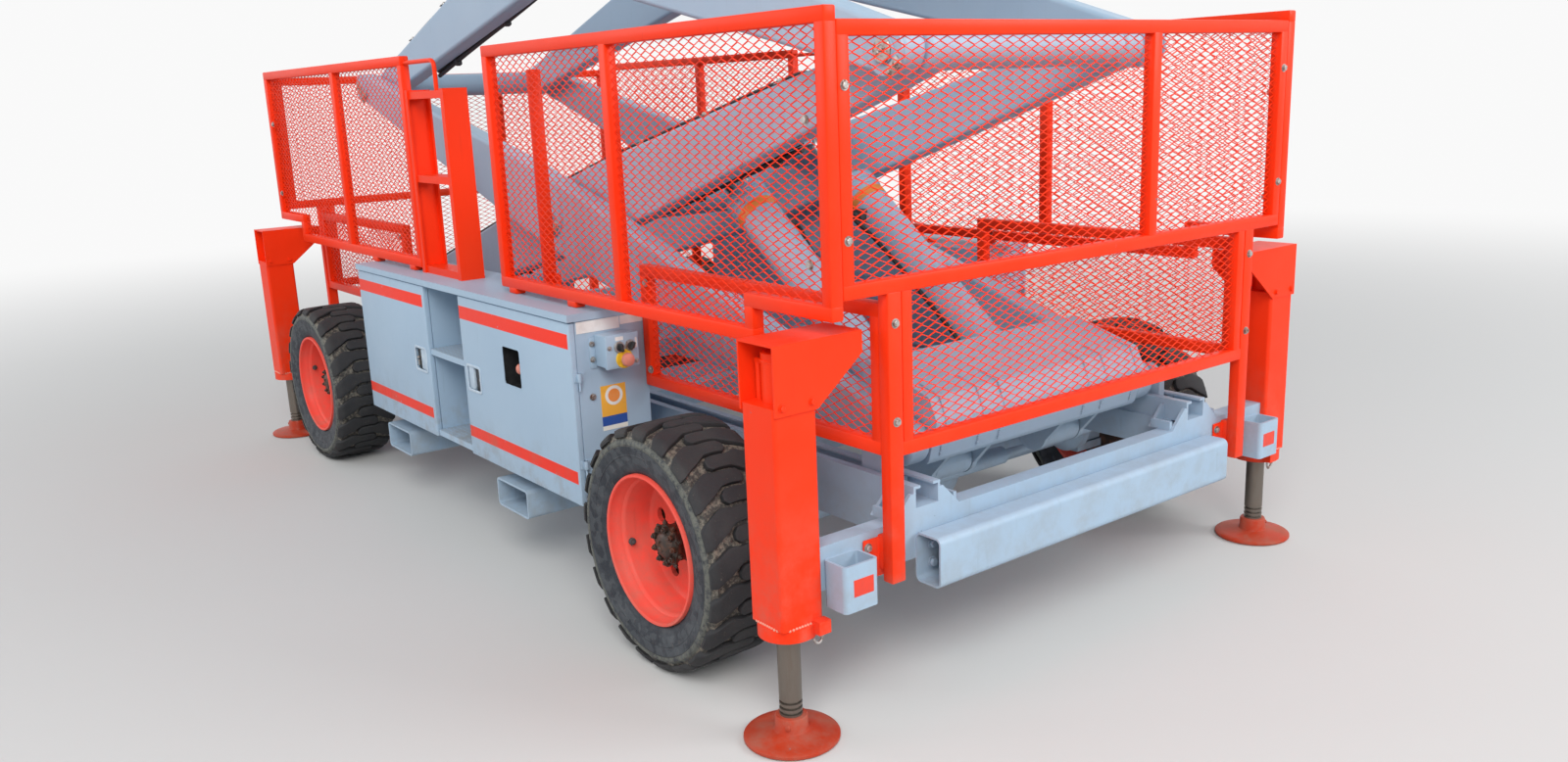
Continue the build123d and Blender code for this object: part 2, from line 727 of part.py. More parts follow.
corner = [block(tube_in, tube_out, post_out, post_in, post_foot_z, end_guard_low),
          block(beam_out_x, tube_in, post_out, post_in, post_foot_z + 30, beam_high),
          block(tube_in, tube_out, -end_half, -end_half + guard_tube, end_guard_low + guard_tube, end_top - guard_tube),
          block(panel_back, panel_back + guard_tube, -post_y - half_tube, -post_y + half_tube,
                lower_mesh_z, guard_step_low),
          block(tube_in - guard_tube, tube_in, -post_y - half_tube, -post_y + half_tube, lower_mesh_z, guard_step_low),
          block(panel_back, tube_in, -post_y - half_tube, -post_y + half_tube, lower_mesh_z, lower_mesh_z + guard_tube),
          block(panel_back, tube_in, -post_y - half_tube, -post_y + half_tube,
                guard_step_low - guard_tube, guard_step_low),
          block(panel_back, tube_in, -post_y - mesh_thick / 2, -post_y + mesh_thick / 2, lower_mesh_z, guard_step_low)]
middle = [block(tube_in, tube_out, -end_half, end_half, end_guard_low, end_guard_low + guard_tube),
          block(tube_in, tube_out, -end_half, end_half, end_top - guard_tube, end_top),
          block(tube_in, tube_out, end_post_y[0], end_post_y[1], end_guard_low, end_top),
          block(tube_in, tube_out, post_in, -post_in, lower_mesh_z, lower_mesh_z + guard_tube),
          sheet_x(-end_half, end_half, end_guard_low, end_top),
          sheet_x(post_in, -post_in, lower_mesh_z, end_guard_low)]
end_guard = welded(*mirrored(corner), *middle)
keep("end_guard_front", *end_guard)
keep("end_guard_rear", *[rear(piece) for piece in end_guard])

# Boarding ladder on each cabinet: two channels and three tray treads
ladder = []
for x, inward in ((ladder_rear, 1), (ladder_front, -1)):
    stile = block(x, x + inward * ladder_flange, -ladder_out, -ladder_in, cab_high, ladder_top)
    stile -= block(x + inward * ladder_sheet, x + inward * ladder_flange, -ladder_out + ladder_sheet,
                   -ladder_in - ladder_sheet, cab_high, ladder_top)
    ladder.append(stile)
for z in ladder_treads:
    tray = block(ladder_rear + ladder_sheet, ladder_front - ladder_sheet, -ladder_out + ladder_sheet,
                 -ladder_in - ladder_sheet, z, z + ladder_tread_thick)
    tray -= block(ladder_rear + ladder_flange, ladder_front - ladder_flange, -ladder_out + 2 * ladder_sheet,
                  -ladder_in - 2 * ladder_sheet, z, z + ladder_tread_thick - ladder_sheet)
    ladder.append(tray)
keep("ladder", *mirrored(ladder))


# Scissor arms. A local frame has its X along the arm from its low pin and its Y across it, upwards.
def arm_frame(x, z, direction, y):
    """direction is 1 for an arm that rises to the front, -1 for one that rises to the rear."""
    along = (direction * rest_cos, 0, rest_sin)
    return Plane(origin=(x, y, z), x_dir=along, z_dir=(0, -direction, 0))


def arm_outline():
    half = arm_depth / 2
    web = make_face(Polyline((0, arm_end_radius), (half_arm - arm_flat, half), (half_arm + arm_flat, half),
                             (arm_length, arm_end_radius), (arm_length, -arm_end_radius),
                             (half_arm + arm_flat, -half), (half_arm - arm_flat, -half),
                             (0, -arm_end_radius), close=True))
    return web + Circle(arm_end_radius) + Pos(arm_length, 0) * Circle(arm_end_radius)


def arm(x, z, direction, y0, y1):
    """One arm, with its long edges rounded."""
    blank = extrude(arm_outline(), amount=abs(y1 - y0) / 2, both=True)
    long_edges = [edge for edge in blank.edges().filter_by(GeomType.LINE) if edge.length > arm_flat]
    plane = arm_frame(x, z, direction, (y0 + y1) / 2)
    return plane * fillet(long_edges, arm_corner)


def on_arm(x, z, direction, along, across):
    """Place on an arm, in world X and Z."""
    return (x + direction * (along * rest_cos - across * rest_sin), z + along * rest_sin + across * rest_cos)


for level in range(levels):
    low_z = pin_low_z + level * rise
    top_z = low_z + rise
    middle_x, middle_z = on_arm(pin_rear_x, low_z, 1, half_arm, 0)

    # Outer arms rise to the rear, with a bore at each pin
    outer = arm(pin_front_x, low_z, -1, -outer_out, -outer_in)
    bores = [(middle_x, middle_z), (pin_rear_x, top_z)]
    if level > 0:
        bores.append((pin_front_x, low_z))
    for x, z in bores:
        outer += bar_y(x, z, -outer_out - boss_thick, -outer_out, boss_radius if x == middle_x else arm_end_radius)
        outer -= bar_y(x, z, -outer_out - boss_thick, -outer_in, pin_radius + pin_clear)
    if level == 0:
        outer += bar_y(pin_front_x, low_z, -track_y - pillar_thick / 2, -outer_out, shoe_pin_radius)
        beam_points = [(-70, -40), (-70, 90), (-20, 150), (270, 150), (270, 60), (60, -60), (-60, -60)]
        corners = [on_arm(pin_front_x, low_z, -1, u, v) for u, v in beam_points]
        beam = rounded(plate_xz(corners, -outer_in, outer_in), Axis.Y, beam_corner)
        foot_x, foot_z = on_arm(pin_front_x, low_z, -1, cyl_foot_u, cyl_foot_v)
        ear_points = [(-40, -55), (150, -10), (cyl_foot_u + 62, cyl_foot_v), (cyl_foot_u - 62, cyl_foot_v)]
        ear_corners = [on_arm(pin_front_x, low_z, -1, u, v) for u, v in ear_points]
        ears = []
        for inner_face in (cyl_y - cyl_foot_half - cyl_ear_gap - cyl_ear_thick, cyl_y + cyl_foot_half + cyl_ear_gap):
            ear = plate_xz(ear_corners, -inner_face - cyl_ear_thick, -inner_face)
            ear += bar_y(foot_x, foot_z, -inner_face - cyl_ear_thick, -inner_face, cyl_eye_radius + 2)
            ear -= bar_y(foot_x, foot_z, -inner_face - cyl_ear_thick, -inner_face, cyl_pin_radius + pin_clear)
            ears.extend(both_sides(ear))
        keep("outer_arms_1", outer, left(outer), fuse([beam] + ears))
    else:
        keep(f"outer_arms_{level + 1}", outer, left(outer))

    # Inner arms rise to the front, with cross tubes and the pins that the outer arms turn on
    inner = arm(pin_rear_x, low_z, 1, -inner_out, -inner_in)
    inner += bar_y(middle_x, middle_z, -pin_end, -inner_out, pin_radius)
    low_pin_end = -bracket_out if level == 0 else -pin_end
    inner += bar_y(pin_rear_x, low_z, low_pin_end, -inner_out, pin_radius)
    tubes = [bar_y(middle_x, middle_z, -inner_in, inner_in, tube_radius),
             bar_y(pin_rear_x, low_z, -inner_in, inner_in, tube_radius)]
    if level < levels - 1:
        inner += bar_y(pin_front_x, top_z, -pin_end, -inner_out, pin_radius)
        tubes.append(bar_y(pin_front_x, top_z, -inner_in, inner_in, tube_radius))
    else:
        inner += bar_y(pin_front_x, top_z, -inner_in, -roller_in, roller_radius)
        stay_x, stay_z = on_arm(pin_rear_x, low_z, 1, arm_length - stay_back, -stay_drop)
        tubes.append(bar_y(stay_x, stay_z, -inner_in, inner_in, stay_radius))
    if level == 0:
        carrier_x, carrier_z = on_arm(pin_rear_x, low_z, 1, cyl_head_s - cyl_carrier_back, cyl_head_n - 10)
        carrier = [bar_y(carrier_x, carrier_z, -inner_in, inner_in, 50)]
        head_x, head_z = on_arm(pin_rear_x, low_z, 1, cyl_head_s, cyl_head_n)
        head_points = [(cyl_head_s - cyl_carrier_back, cyl_head_n + 30), (cyl_head_s + 45, cyl_head_n + 48),
                       (cyl_head_s + 45, cyl_head_n - 48), (cyl_head_s - cyl_carrier_back, cyl_head_n - 50)]
        head_corners = [on_arm(pin_rear_x, low_z, 1, s, n) for s, n in head_points]
        for inner_face in (cyl_y - cyl_head_half - cyl_ear_gap - cyl_ear_thick, cyl_y + cyl_head_half + cyl_ear_gap):
            carrier.extend(both_sides(plate_xz(head_corners, -inner_face - cyl_ear_thick, -inner_face)))
        tubes.append(fuse(carrier))
    keep(f"inner_arms_{level + 1}", inner, left(inner), *tubes)

# Shoes that carry the lowest outer arms along the tracks
shoe = block(pin_front_x - shoe_half, pin_front_x + shoe_half, -track_y - track_width / 2 + track_wall + shoe_clear,
             -track_y + track_width / 2 - track_wall - shoe_clear, rail_high + track_wall + 0.3,
             track_high - track_wall - shoe_clear)
shoe += block(pin_front_x - 60, pin_front_x + 60, -track_y - pillar_thick / 2, -track_y + pillar_thick / 2,
              rail_high + track_wall + 0.3, pin_low_z)
shoe += bar_y(pin_front_x, pin_low_z, -track_y - pillar_thick / 2, -track_y + pillar_thick / 2, pillar_top)
shoe -= bar_y(pin_front_x, pin_low_z, -track_y - pillar_thick / 2, -track_y + pillar_thick / 2,
              shoe_pin_radius + pin_clear)
keep("track_shoes", *both_sides(shoe))

# Lift cylinders, from the lowest outer arms' beam up to the lowest inner arms' ears
foot_x, foot_z = on_arm(pin_front_x, pin_low_z, -1, cyl_foot_u, cyl_foot_v)
head_x, head_z = on_arm(pin_rear_x, pin_low_z, 1, cyl_head_s, cyl_head_n)
cyl_length = math.hypot(head_x - foot_x, head_z - foot_z)
cyl_dir = ((head_x - foot_x) / cyl_length, 0, (head_z - foot_z) / cyl_length)
cyl_side = Plane(origin=(foot_x, -cyl_y, foot_z), x_dir=(0, 1, 0), z_dir=cyl_dir)


def along_cylinder(z0, z1, radius):
    return cyl_side * Pos(0, 0, (z0 + z1) / 2) * Cylinder(radius, z1 - z0)


barrel = along_cylinder(0, cyl_barrel, cyl_radius)
barrel -= along_cylinder(cyl_bore_start, cyl_barrel, cyl_rod_radius + pin_clear)
barrel += bar_y(foot_x, foot_z, -cyl_y - cyl_foot_half, -cyl_y + cyl_foot_half, cyl_eye_radius)
barrel += bar_y(foot_x, foot_z, -cyl_y - cyl_foot_half - cyl_ear_gap - cyl_ear_thick,
                -cyl_y + cyl_foot_half + cyl_ear_gap + cyl_ear_thick, cyl_pin_radius)
keep("lift_barrels", *both_sides(barrel))
rod = along_cylinder(cyl_rod_start, cyl_length, cyl_rod_radius)
rod += bar_y(head_x, head_z, -cyl_y - cyl_head_half, -cyl_y + cyl_head_half, cyl_eye_radius - 4)
keep("lift_rods", *both_sides(rod))

# Platform: deck frame with roller channels and pin hangers
frame_low = pin_top_z + deck_above_pin
deck_top = frame_low + deck_frame_high
joist_high = deck_top - deck_plate
deck = [block(-deck_half_x, deck_half_x, -deck_half_y, deck_half_y, joist_high, deck_top)]
for y in (-deck_half_y, -roller_out, roller_out - joist_wide, deck_half_y - joist_wide):
    deck.append(block(-deck_half_x, deck_half_x, y, y + joist_wide, frame_low, joist_high))
for x in (-deck_half_x, pin_rear_x - joist_wide / 2, *joist_x, deck_half_x - joist_wide):
    deck.append(block(x, x + joist_wide, -deck_half_y, deck_half_y, frame_low, joist_high))
fold_x = pin_rear_x + arm_length * math.cos(math.radians(fold_angle))
raise_x = pin_rear_x + arm_length * math.cos(math.radians(raise_angle))
channel_in = roller_in - 3 - channel_web
channel_half = roller_radius + roller_gap
channel_back = raise_x - 70
channel_front = min(fold_x + 60, deck_half_x)
channel = block(channel_back, channel_front, -roller_out - 5, -channel_in,
                pin_top_z - channel_half - channel_flange, frame_low)
channel -= block(channel_back, channel_front, -roller_out - 5, -channel_in - channel_web,
                 pin_top_z - channel_half, pin_top_z + channel_half)
hanger_y = -outer_out - hanger_gap
hanger = block(pin_rear_x - hanger_half, pin_rear_x + hanger_half, hanger_y - hanger_thick, hanger_y,
               pin_top_z, frame_low)
hanger += bar_y(pin_rear_x, pin_top_z, hanger_y - hanger_thick, hanger_y, hanger_half)
hanger += bar_y(pin_rear_x, pin_top_z, hanger_y - hanger_thick, -outer_in, pin_radius)
runner = block(ext_rear_x, deck_half_x, -runner_y - runner_width / 2, -runner_y + runner_width / 2,
               deck_top, deck_top + runner_high)
sheet_edge = rail_tube + deck_sheet_edge
tread_sheet = block(-deck_half_x + sheet_edge, ext_rear_x - deck_sheet_edge, -deck_half_y + sheet_edge,
                    deck_half_y - sheet_edge, deck_top, deck_top + deck_sheet)
keep("platform_deck", *welded(*deck), *mirrored([channel, hanger, runner]), tread_sheet)

# Guard rails: posts with a top rail, a middle rail and a toe board between them
rail_top = deck_top + rail_height
y_right = -deck_half_y
y_left = deck_half_y - rail_tube


def rail_run(x0, x1, y0, y1):
    return [block(x0, x1, y0, y1, rail_top - rail_tube, rail_top),
            block(x0, x1, y0, y1, deck_top + mid_rail, deck_top + mid_rail + rail_tube),
            block(x0, x1, y0, y1, deck_top, deck_top + toe_board)]


def rail_post(x, y):
    return block(x, x + rail_tube, y, y + rail_tube, deck_top, rail_top - rail_tube)


front_post = deck_half_x - rail_tube
posts = [rail_post(x, y_right) for x in (-deck_half_x, gate_x0 - rail_tube, gate_x1, *right_posts, front_post)]
posts += [rail_post(x, y_left) for x in (-deck_half_x, *left_posts, front_post)]
posts += [rail_post(-deck_half_x, y) for y in rear_posts]
runs = rail_run(-deck_half_x, -deck_half_x + rail_tube, y_right, deck_half_y)
runs += rail_run(-deck_half_x, gate_x0, y_right, y_right + rail_tube)
runs += rail_run(gate_x1, deck_half_x, y_right, y_right + rail_tube)
runs += rail_run(-deck_half_x, deck_half_x, y_left, deck_half_y)
gate_axis_x = gate_x0 + gate_gap / 2
gate_axis_y = y_right + rail_tube + hinge_radius
gate_leaf_y = y_right + rail_tube
fixed_hinges = []
for up in gate_hinge_up:
    z = deck_top + up
    knuckle_top = z + hinge_height / 2
    fixed = bar_z(gate_axis_x, gate_axis_y, z, knuckle_top, hinge_radius)
    fixed += block(gate_x0 - hinge_reach, gate_axis_x, gate_leaf_y, gate_leaf_y + hinge_leaf, z, knuckle_top)
    fixed_hinges.append(fixed - bar_z(gate_axis_x, gate_axis_y, z, knuckle_top, hinge_pin_radius + pin_clear))
console = block(console_x[0], console_x[1], y_left - console_deep, y_left, rail_top - console_down,
                rail_top + console_up)
keep("platform_rails", *welded(*posts, *runs), *fixed_hinges, console)

# Roll-out deck at the front, inside the main rails
ext_y = deck_half_y - rail_tube - ext_side_gap
ext_low = deck_top + runner_high + runner_gap
ext_floor = ext_low + ext_plate
ext_front_x = deck_half_x + ext_front_over
ext_post_front = ext_front_x - rail_tube
ext_top = rail_top - ext_rail_drop
ext_deck = [block(ext_rear_x, ext_front_x, -ext_y, ext_y, ext_low, ext_floor)]
for y in (-ext_y, ext_y - rail_tube):
    ext_deck += [block(x, x + rail_tube, y, y + rail_tube, ext_floor, ext_top - rail_tube)
                 for x in (ext_rear_x, ext_post_x, ext_post_front)]
    ext_deck.append(block(ext_rear_x, ext_front_x, y, y + rail_tube, ext_top - rail_tube, ext_top))
for z in (ext_low + mid_rail, ext_top - rail_tube):
    ext_deck.append(block(ext_post_front, ext_front_x, -ext_y, ext_y, z, z + rail_tube))
ext_deck.append(block(ext_post_front, ext_front_x, -ext_y, ext_y, ext_floor, ext_low + toe_board))
keep("extension_deck", *welded(*ext_deck))

# Entry gate in the right-hand rail
gate_back = gate_x0 + gate_gap
gate_front = gate_x1 - gate_gap
gate_y = y_right + rail_tube
gate = [block(x, x + rail_tube, y_right, gate_y, deck_top + gate_low, rail_top)
        for x in (gate_back, gate_front - rail_tube)]
for z0, z1 in ((rail_top - rail_tube, rail_top), (deck_top + mid_rail, deck_top + mid_rail + rail_tube),
               (deck_top + gate_low, deck_top + toe_board)):
    gate.append(block(gate_back, gate_front, y_right, gate_y, z0, z1))
moving_hinges = []
for up in gate_hinge_up:
    z = deck_top + up
    knuckle_low = z + hinge_height / 2 + hinge_gap
    moving = bar_z(gate_axis_x, gate_axis_y, knuckle_low, z + hinge_height, hinge_radius)
    moving += block(gate_axis_x, gate_axis_x + hinge_reach, gate_y, gate_y + hinge_leaf, knuckle_low, z + hinge_height)
    moving += bar_z(gate_axis_x, gate_axis_y, z, z + hinge_height, hinge_pin_radius)
    moving_hinges.append(moving)
keep("platform_gate", *welded(*gate), *moving_hinges)
print("rest shoe pin x", round(pin_front_x, 1), "platform pin z", round(pin_top_z, 1), "cylinder", round(cyl_length, 1))
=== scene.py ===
import bpy
import json
import math
from contextlib import contextmanager
from mathutils import Matrix, Vector


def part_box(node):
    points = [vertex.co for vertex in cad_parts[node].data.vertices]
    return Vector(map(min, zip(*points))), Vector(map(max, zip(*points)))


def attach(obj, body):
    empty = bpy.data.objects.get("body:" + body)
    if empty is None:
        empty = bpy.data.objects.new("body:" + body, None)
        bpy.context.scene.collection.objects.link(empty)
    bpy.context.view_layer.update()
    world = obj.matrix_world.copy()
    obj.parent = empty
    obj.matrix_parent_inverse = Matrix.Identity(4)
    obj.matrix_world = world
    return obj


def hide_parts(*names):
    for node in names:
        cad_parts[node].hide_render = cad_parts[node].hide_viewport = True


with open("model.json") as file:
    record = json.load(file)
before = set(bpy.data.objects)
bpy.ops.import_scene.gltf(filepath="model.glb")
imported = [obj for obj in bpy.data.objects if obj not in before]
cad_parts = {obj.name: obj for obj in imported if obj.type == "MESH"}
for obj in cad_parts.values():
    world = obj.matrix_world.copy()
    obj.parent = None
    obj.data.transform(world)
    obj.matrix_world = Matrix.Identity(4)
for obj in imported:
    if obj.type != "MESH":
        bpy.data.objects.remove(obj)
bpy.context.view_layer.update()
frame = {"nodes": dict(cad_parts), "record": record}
bpy.ops.object.select_all(action="DESELECT")

# Finish colours, linear
ORANGE = (0.9, 0.036, 0.004)
ORANGE_WORN = (0.82, 0.056, 0.016)
ORANGE_DARK = (0.36, 0.016, 0.007)
GREY = (0.345, 0.465, 0.59)
GREY_WORN = (0.4, 0.515, 0.625)
GREY_DARK = (0.17, 0.19, 0.21)
STRIPE = (0.84, 0.034, 0.014)
DUST = (0.26, 0.21, 0.16)
RUST = (0.16, 0.055, 0.022)
GREASE = (0.028, 0.017, 0.012)
CAST = (0.055, 0.055, 0.058)
PALE = (0.95, 0.95, 0.95, 1)


class Wire:
    """A socket of the tree being built. Arithmetic on it adds Math nodes."""

    def __init__(self, tree, socket):
        self.tree = tree
        self.socket = socket

    def math(self, operation, *others):
        return self.tree.node("ShaderNodeMath", {"operation": operation}, dict(enumerate((self, *others))))

    def __add__(self, other):
        return self.math("ADD", other)

    __radd__ = __add__

    def __mul__(self, other):
        return self.math("MULTIPLY", other)

    __rmul__ = __mul__

    def __sub__(self, other):
        return self.math("SUBTRACT", other)

    def __rsub__(self, other):
        return self.tree.node("ShaderNodeMath", {"operation": "SUBTRACT"}, {0: other, 1: self})

    def __truediv__(self, other):
        return self.math("DIVIDE", other)

    def __abs__(self):
        return self.math("ABSOLUTE")

    def ramp(self, low, high):
        """0 below low, 1 above high, and smooth between."""
        settings = {"interpolation_type": "SMOOTHSTEP"}
        inputs = {"Value": self, "From Min": low, "From Max": high}
        return self.tree.node("ShaderNodeMapRange", settings, inputs)

    def within(self, low, high, soft=0.0008):
        """1 between low and high, 0 outside."""
        return self.ramp(low - soft, low + soft) * (1 - self.ramp(high - soft, high + soft))


class Tree:
    """The emptied node tree of a material or a world."""

    def __init__(self, holder):
        holder.use_nodes = True
        self.nodes = holder.node_tree.nodes
        self.links = holder.node_tree.links
        self.nodes.clear()

    def feed(self, socket, value):
        """Link a wire to the socket or set its value; a colour may come without its alpha."""
        if isinstance(value, Wire):
            self.links.new(value.socket, socket)
        elif isinstance(value, tuple) and len(value) < len(socket.default_value):
            socket.default_value = (*value, 1.0)
        else:
            socket.default_value = value

    def node(self, kind, settings=None, inputs=None, output=0):
        made = self.nodes.new(kind)
        for key, value in (settings or {}).items():
            setattr(made, key, value)
        for key, value in (inputs or {}).items():
            self.feed(made.inputs[key], value)
        return Wire(self, made.outputs[output]) if made.outputs else None

    def mixed_output(self, kind, share, first, second):
        """Output of two mixed shaders, the second where share is 1."""
        self.node(kind, {}, {0: self.node("ShaderNodeMixShader", {}, {0: share, 1: first, 2: second})})


class Paint(Tree):
    """A procedural material on Object coordinates."""

    def __init__(self, name):
        self.material = bpy.data.materials.new(name)
        super().__init__(self.material)
        shader = self.node("ShaderNodeBsdfPrincipled")
        self.inputs = shader.socket.node.inputs
        self.node("ShaderNodeOutputMaterial", {}, {"Surface": shader})
        self.place = self.node("ShaderNodeTexCoord", output="Object")
        split = self.node("ShaderNodeSeparateXYZ", {}, {0: self.place}).socket.node
        self.x, self.y, self.z = (Wire(self, output) for output in split.outputs)

    def noise(self, scale, detail=3.0, roughness=0.55, stretch=None):
        place = self.place
        if stretch:
            place = self.node("ShaderNodeVectorMath", {"operation": "MULTIPLY"}, {0: place, 1: stretch})
        return self.node("ShaderNodeTexNoise", {}, {"Vector": place, "Scale": scale, "Detail": detail,
                                                    "Roughness": roughness})

    def blend(self, mask, first, second):
        """Colour that is first where mask is 0 and second where it is 1."""
        return self.node("ShaderNodeMix", {"data_type": "RGBA"}, {0: mask, 6: first, 7: second}, 2)

    def finish(self, colour, roughness, bump, height=0.0005, strength=0.5, metallic=0.0, coat=None, shine=0.5):
        values = {"Base Color": colour, "Roughness": roughness, "Metallic": metallic,
                  "Specular IOR Level": shine}
        if coat is not None:
            values.update({"Coat Weight": coat, "Coat Roughness": 0.18})
        relief = {"Strength": strength, "Distance": height, "Height": bump}
        values["Normal"] = self.node("ShaderNodeBump", {}, relief)
        for name, value in values.items():
            self.feed(self.inputs[name], value)
        return self.material


def chipped_paint(name, base, worn, dark):
    """Brushed or sprayed enamel: slow shifts of tone, thin dust streaks, small chips and road dirt low down."""
    p = Paint(name)
    tone = p.noise(1.7, 4.0, 0.6)
    fine = p.noise(38.0, 3.0, 0.6)
    streaks = p.noise(5.0, 3.0, 0.6, (9.0, 9.0, 0.9))
    colour = p.blend(tone.ramp(0.38, 0.72) * 0.45, base, worn)
    colour = p.blend(streaks.ramp(0.6, 0.86) * 0.22, colour, dark)
    dirt = (1 - p.z.ramp(0.1, 0.9)) * p.noise(9.0, 5.0, 0.7).ramp(0.34, 0.74)
    colour = p.blend(dirt * 0.42, colour, DUST)
    chips = fine.ramp(0.735, 0.765) * tone.ramp(0.42, 0.55)
    colour = p.blend(chips * 0.85, colour, GREY_DARK)
    rough = 0.34 + fine * 0.1 + dirt * 0.3 + chips * 0.2
    relief = p.noise(120.0, 2.0) + p.noise(16.0, 2.0) * 1.5 - chips * 2.0
    return p.finish(colour, rough, relief, 0.0003, 0.25, coat=0.03, shine=0.16)


def tread_bars(p, pitch):
    """Raised bars in two directions, as on checkered plate."""
    across = (p.x / pitch).math("FRACT")
    along = (p.y / pitch).math("FRACT")
    flip = abs(((p.x / pitch).math("FLOOR") + (p.y / pitch).math("FLOOR")).math("MODULO", 2.0))
    one = across.within(0.38, 0.62, 0.05) * along.within(0.12, 0.88, 0.08)
    two = along.within(0.38, 0.62, 0.05) * across.within(0.12, 0.88, 0.08)
    return one * flip + two * (1 - flip)


def banded_paint(name):
    """Grey cabinet enamel with the two red bands that run round the doors and grip on the steps."""
    p = Paint(name)
    steps = p.x.within(*STEP_X_RANGE) * (p.z.within(*LOW_STEP) + p.z.within(*HIGH_STEP))
    grip = tread_bars(p, 0.022) * steps
    tone = p.noise(1.7, 4.0, 0.6)
    fine = p.noise(44.0, 3.0, 0.6)
    band = p.z.within(*BAND_TOP) + p.z.within(*BAND_LOW)
    outer = abs(p.y).ramp(BAND_Y - 0.003, BAND_Y - 0.001)
    wear = 1 - p.noise(60.0, 4.0, 0.7).ramp(0.68, 0.73)
    band = band * outer * wear * (p.x.within(*BAND_REAR) + p.x.within(*BAND_FRONT))
    colour = p.blend(tone.ramp(0.38, 0.72) * 0.4, GREY, GREY_WORN)
    colour = p.blend(p.noise(5.0, 3.0, 0.6, (9.0, 9.0, 0.9)).ramp(0.6, 0.85) * 0.18, colour, GREY_DARK)
    colour = p.blend(band, colour, STRIPE)
    dirt = (1 - p.z.ramp(0.36, 0.62)) * p.noise(11.0, 5.0, 0.7).ramp(0.4, 0.75)
    colour = p.blend(dirt * 0.5, colour, DUST)
    colour = p.blend(steps * 0.35 * (1 - grip), colour, DUST)
    rough = 0.36 + fine * 0.12 + dirt * 0.3
    relief = p.noise(90.0, 2.0) + band * 0.6 + grip * 6.0
    return p.finish(colour, rough, relief, 0.0004, 0.3, coat=0.03, shine=0.22)


def tyre_rubber(name):
    """Worn rubber, grey with dust between the lugs and along the shoulders."""
    p = Paint(name)
    speck = p.noise(70.0, 5.0, 0.75)
    cloud = p.noise(7.0, 4.0, 0.65)
    colour = p.blend(cloud.ramp(0.35, 0.8) * 0.35, (0.016, 0.017, 0.02), (0.06, 0.057, 0.052))
    colour = p.blend(speck.ramp(0.6, 0.74) * 0.35, colour, DUST)
    return p.finish(colour, 0.62 + speck * 0.25, speck + p.noise(240.0, 2.0) * 0.4, 0.0012, 0.6)


def groove_rubber(name):
    """Tyre carcass: blue-black walls with a worn pale ridge, and packed dry dirt between the lugs."""
    p = Paint(name)
    across = abs(p.x) - wheel_x
    up = p.z - wheel_z
    radius = (across * across + up * up).math("SQRT")
    speck = p.noise(55.0, 5.0, 0.75)
    cloud = p.noise(11.0, 5.0, 0.7)
    blocks = p.noise(26.0, 2.0, 0.4)
    band = radius.within(0.268, 0.327, 0.003) * blocks.ramp(0.48, 0.54)
    wall = p.blend(cloud.ramp(0.4, 0.7) * 0.7, (0.01, 0.014, 0.022), (0.062, 0.07, 0.08))
    wall = p.blend(band * 0.35, wall, (0.085, 0.095, 0.105))
    wall = p.blend(speck.ramp(0.6, 0.74) * 0.35, wall, DUST)
    ridge = radius.within(0.328, 0.35, 0.002) * speck.ramp(0.34, 0.58)
    wall = p.blend(ridge * 0.75, wall, (0.15, 0.155, 0.13))
    packed = p.blend(speck.ramp(0.42, 0.64), (0.03, 0.029, 0.027), (0.2, 0.18, 0.145))
    colour = p.blend(radius.ramp(0.3475, 0.352), wall, packed)
    rings = radius.within(0.296, 0.3, 0.001) * 1.2 - radius.within(0.3285, 0.3305, 0.0008) * 2.0
    return p.finish(colour, 0.5 + speck * 0.35, speck + band * 0.8 + rings, 0.0022, 0.8)


def plain_metal(name, base, second, roughness, metallic, scale=30.0, stretch=None):
    """Bare or plated metal with streaks of a second colour."""
    p = Paint(name)
    streak = p.noise(scale, 4.0, 0.65, stretch)
    colour = p.blend(streak.ramp(0.45, 0.72), base, second)
    return p.finish(colour, roughness + streak * 0.22, streak, 0.0003, 0.35, metallic=metallic)


def mottled(name, base, second, roughness=0.5, scale=25.0, height=0.0006):
    """Plain stuff with a slight cloud of a second colour: plastic, sticker, cast iron, grease."""
    p = Paint(name)
    cloud = p.noise(scale, 4.0, 0.6)
    colour = p.blend(cloud.ramp(0.42, 0.75) * 0.6, base, second)
    return p.finish(colour, roughness + cloud * 0.15, cloud, height, 0.4)


def deck_paint(name):
    """Grey deck enamel, with checkered plate where people stand."""
    p = Paint(name)
    tone = p.noise(2.0, 4.0, 0.6)
    fine = p.noise(38.0, 3.0, 0.6)
    floor = p.z.within(*DECK_TOP, 0.0003) + p.z.within(*EXTENSION_TOP, 0.0003)
    bars = tread_bars(p, 0.03) * floor
    colour = p.blend(tone.ramp(0.35, 0.75) * 0.5, GREY, GREY_WORN)
    colour = p.blend(fine.ramp(0.62, 0.76) * 0.4, colour, GREY_DARK)
    colour = p.blend(floor * (1 - bars) * 0.3, colour, DUST)
    return p.finish(colour, 0.42 + tone * 0.1, bars * 5.0 + fine * 0.3, 0.0005, 0.6)


def sticker(name, rows, low, high):
    """Blank printed label: flat bands of colour by height, each (bottom of band, colour) from the bottom up."""
    p = Paint(name)
    colour = rows[0][1]
    for edge, above in rows[1:]:
        height = low + edge * (high - low)
        colour = p.blend(p.z.ramp(height - 0.0004, height + 0.0004), colour, above)
    grime = p.noise(60.0, 4.0, 0.7).ramp(0.55, 0.8)
    colour = p.blend(grime * 0.25, colour, DUST)
    return p.finish(colour, 0.35 + grime * 0.3, grime, 0.0002, 0.2)


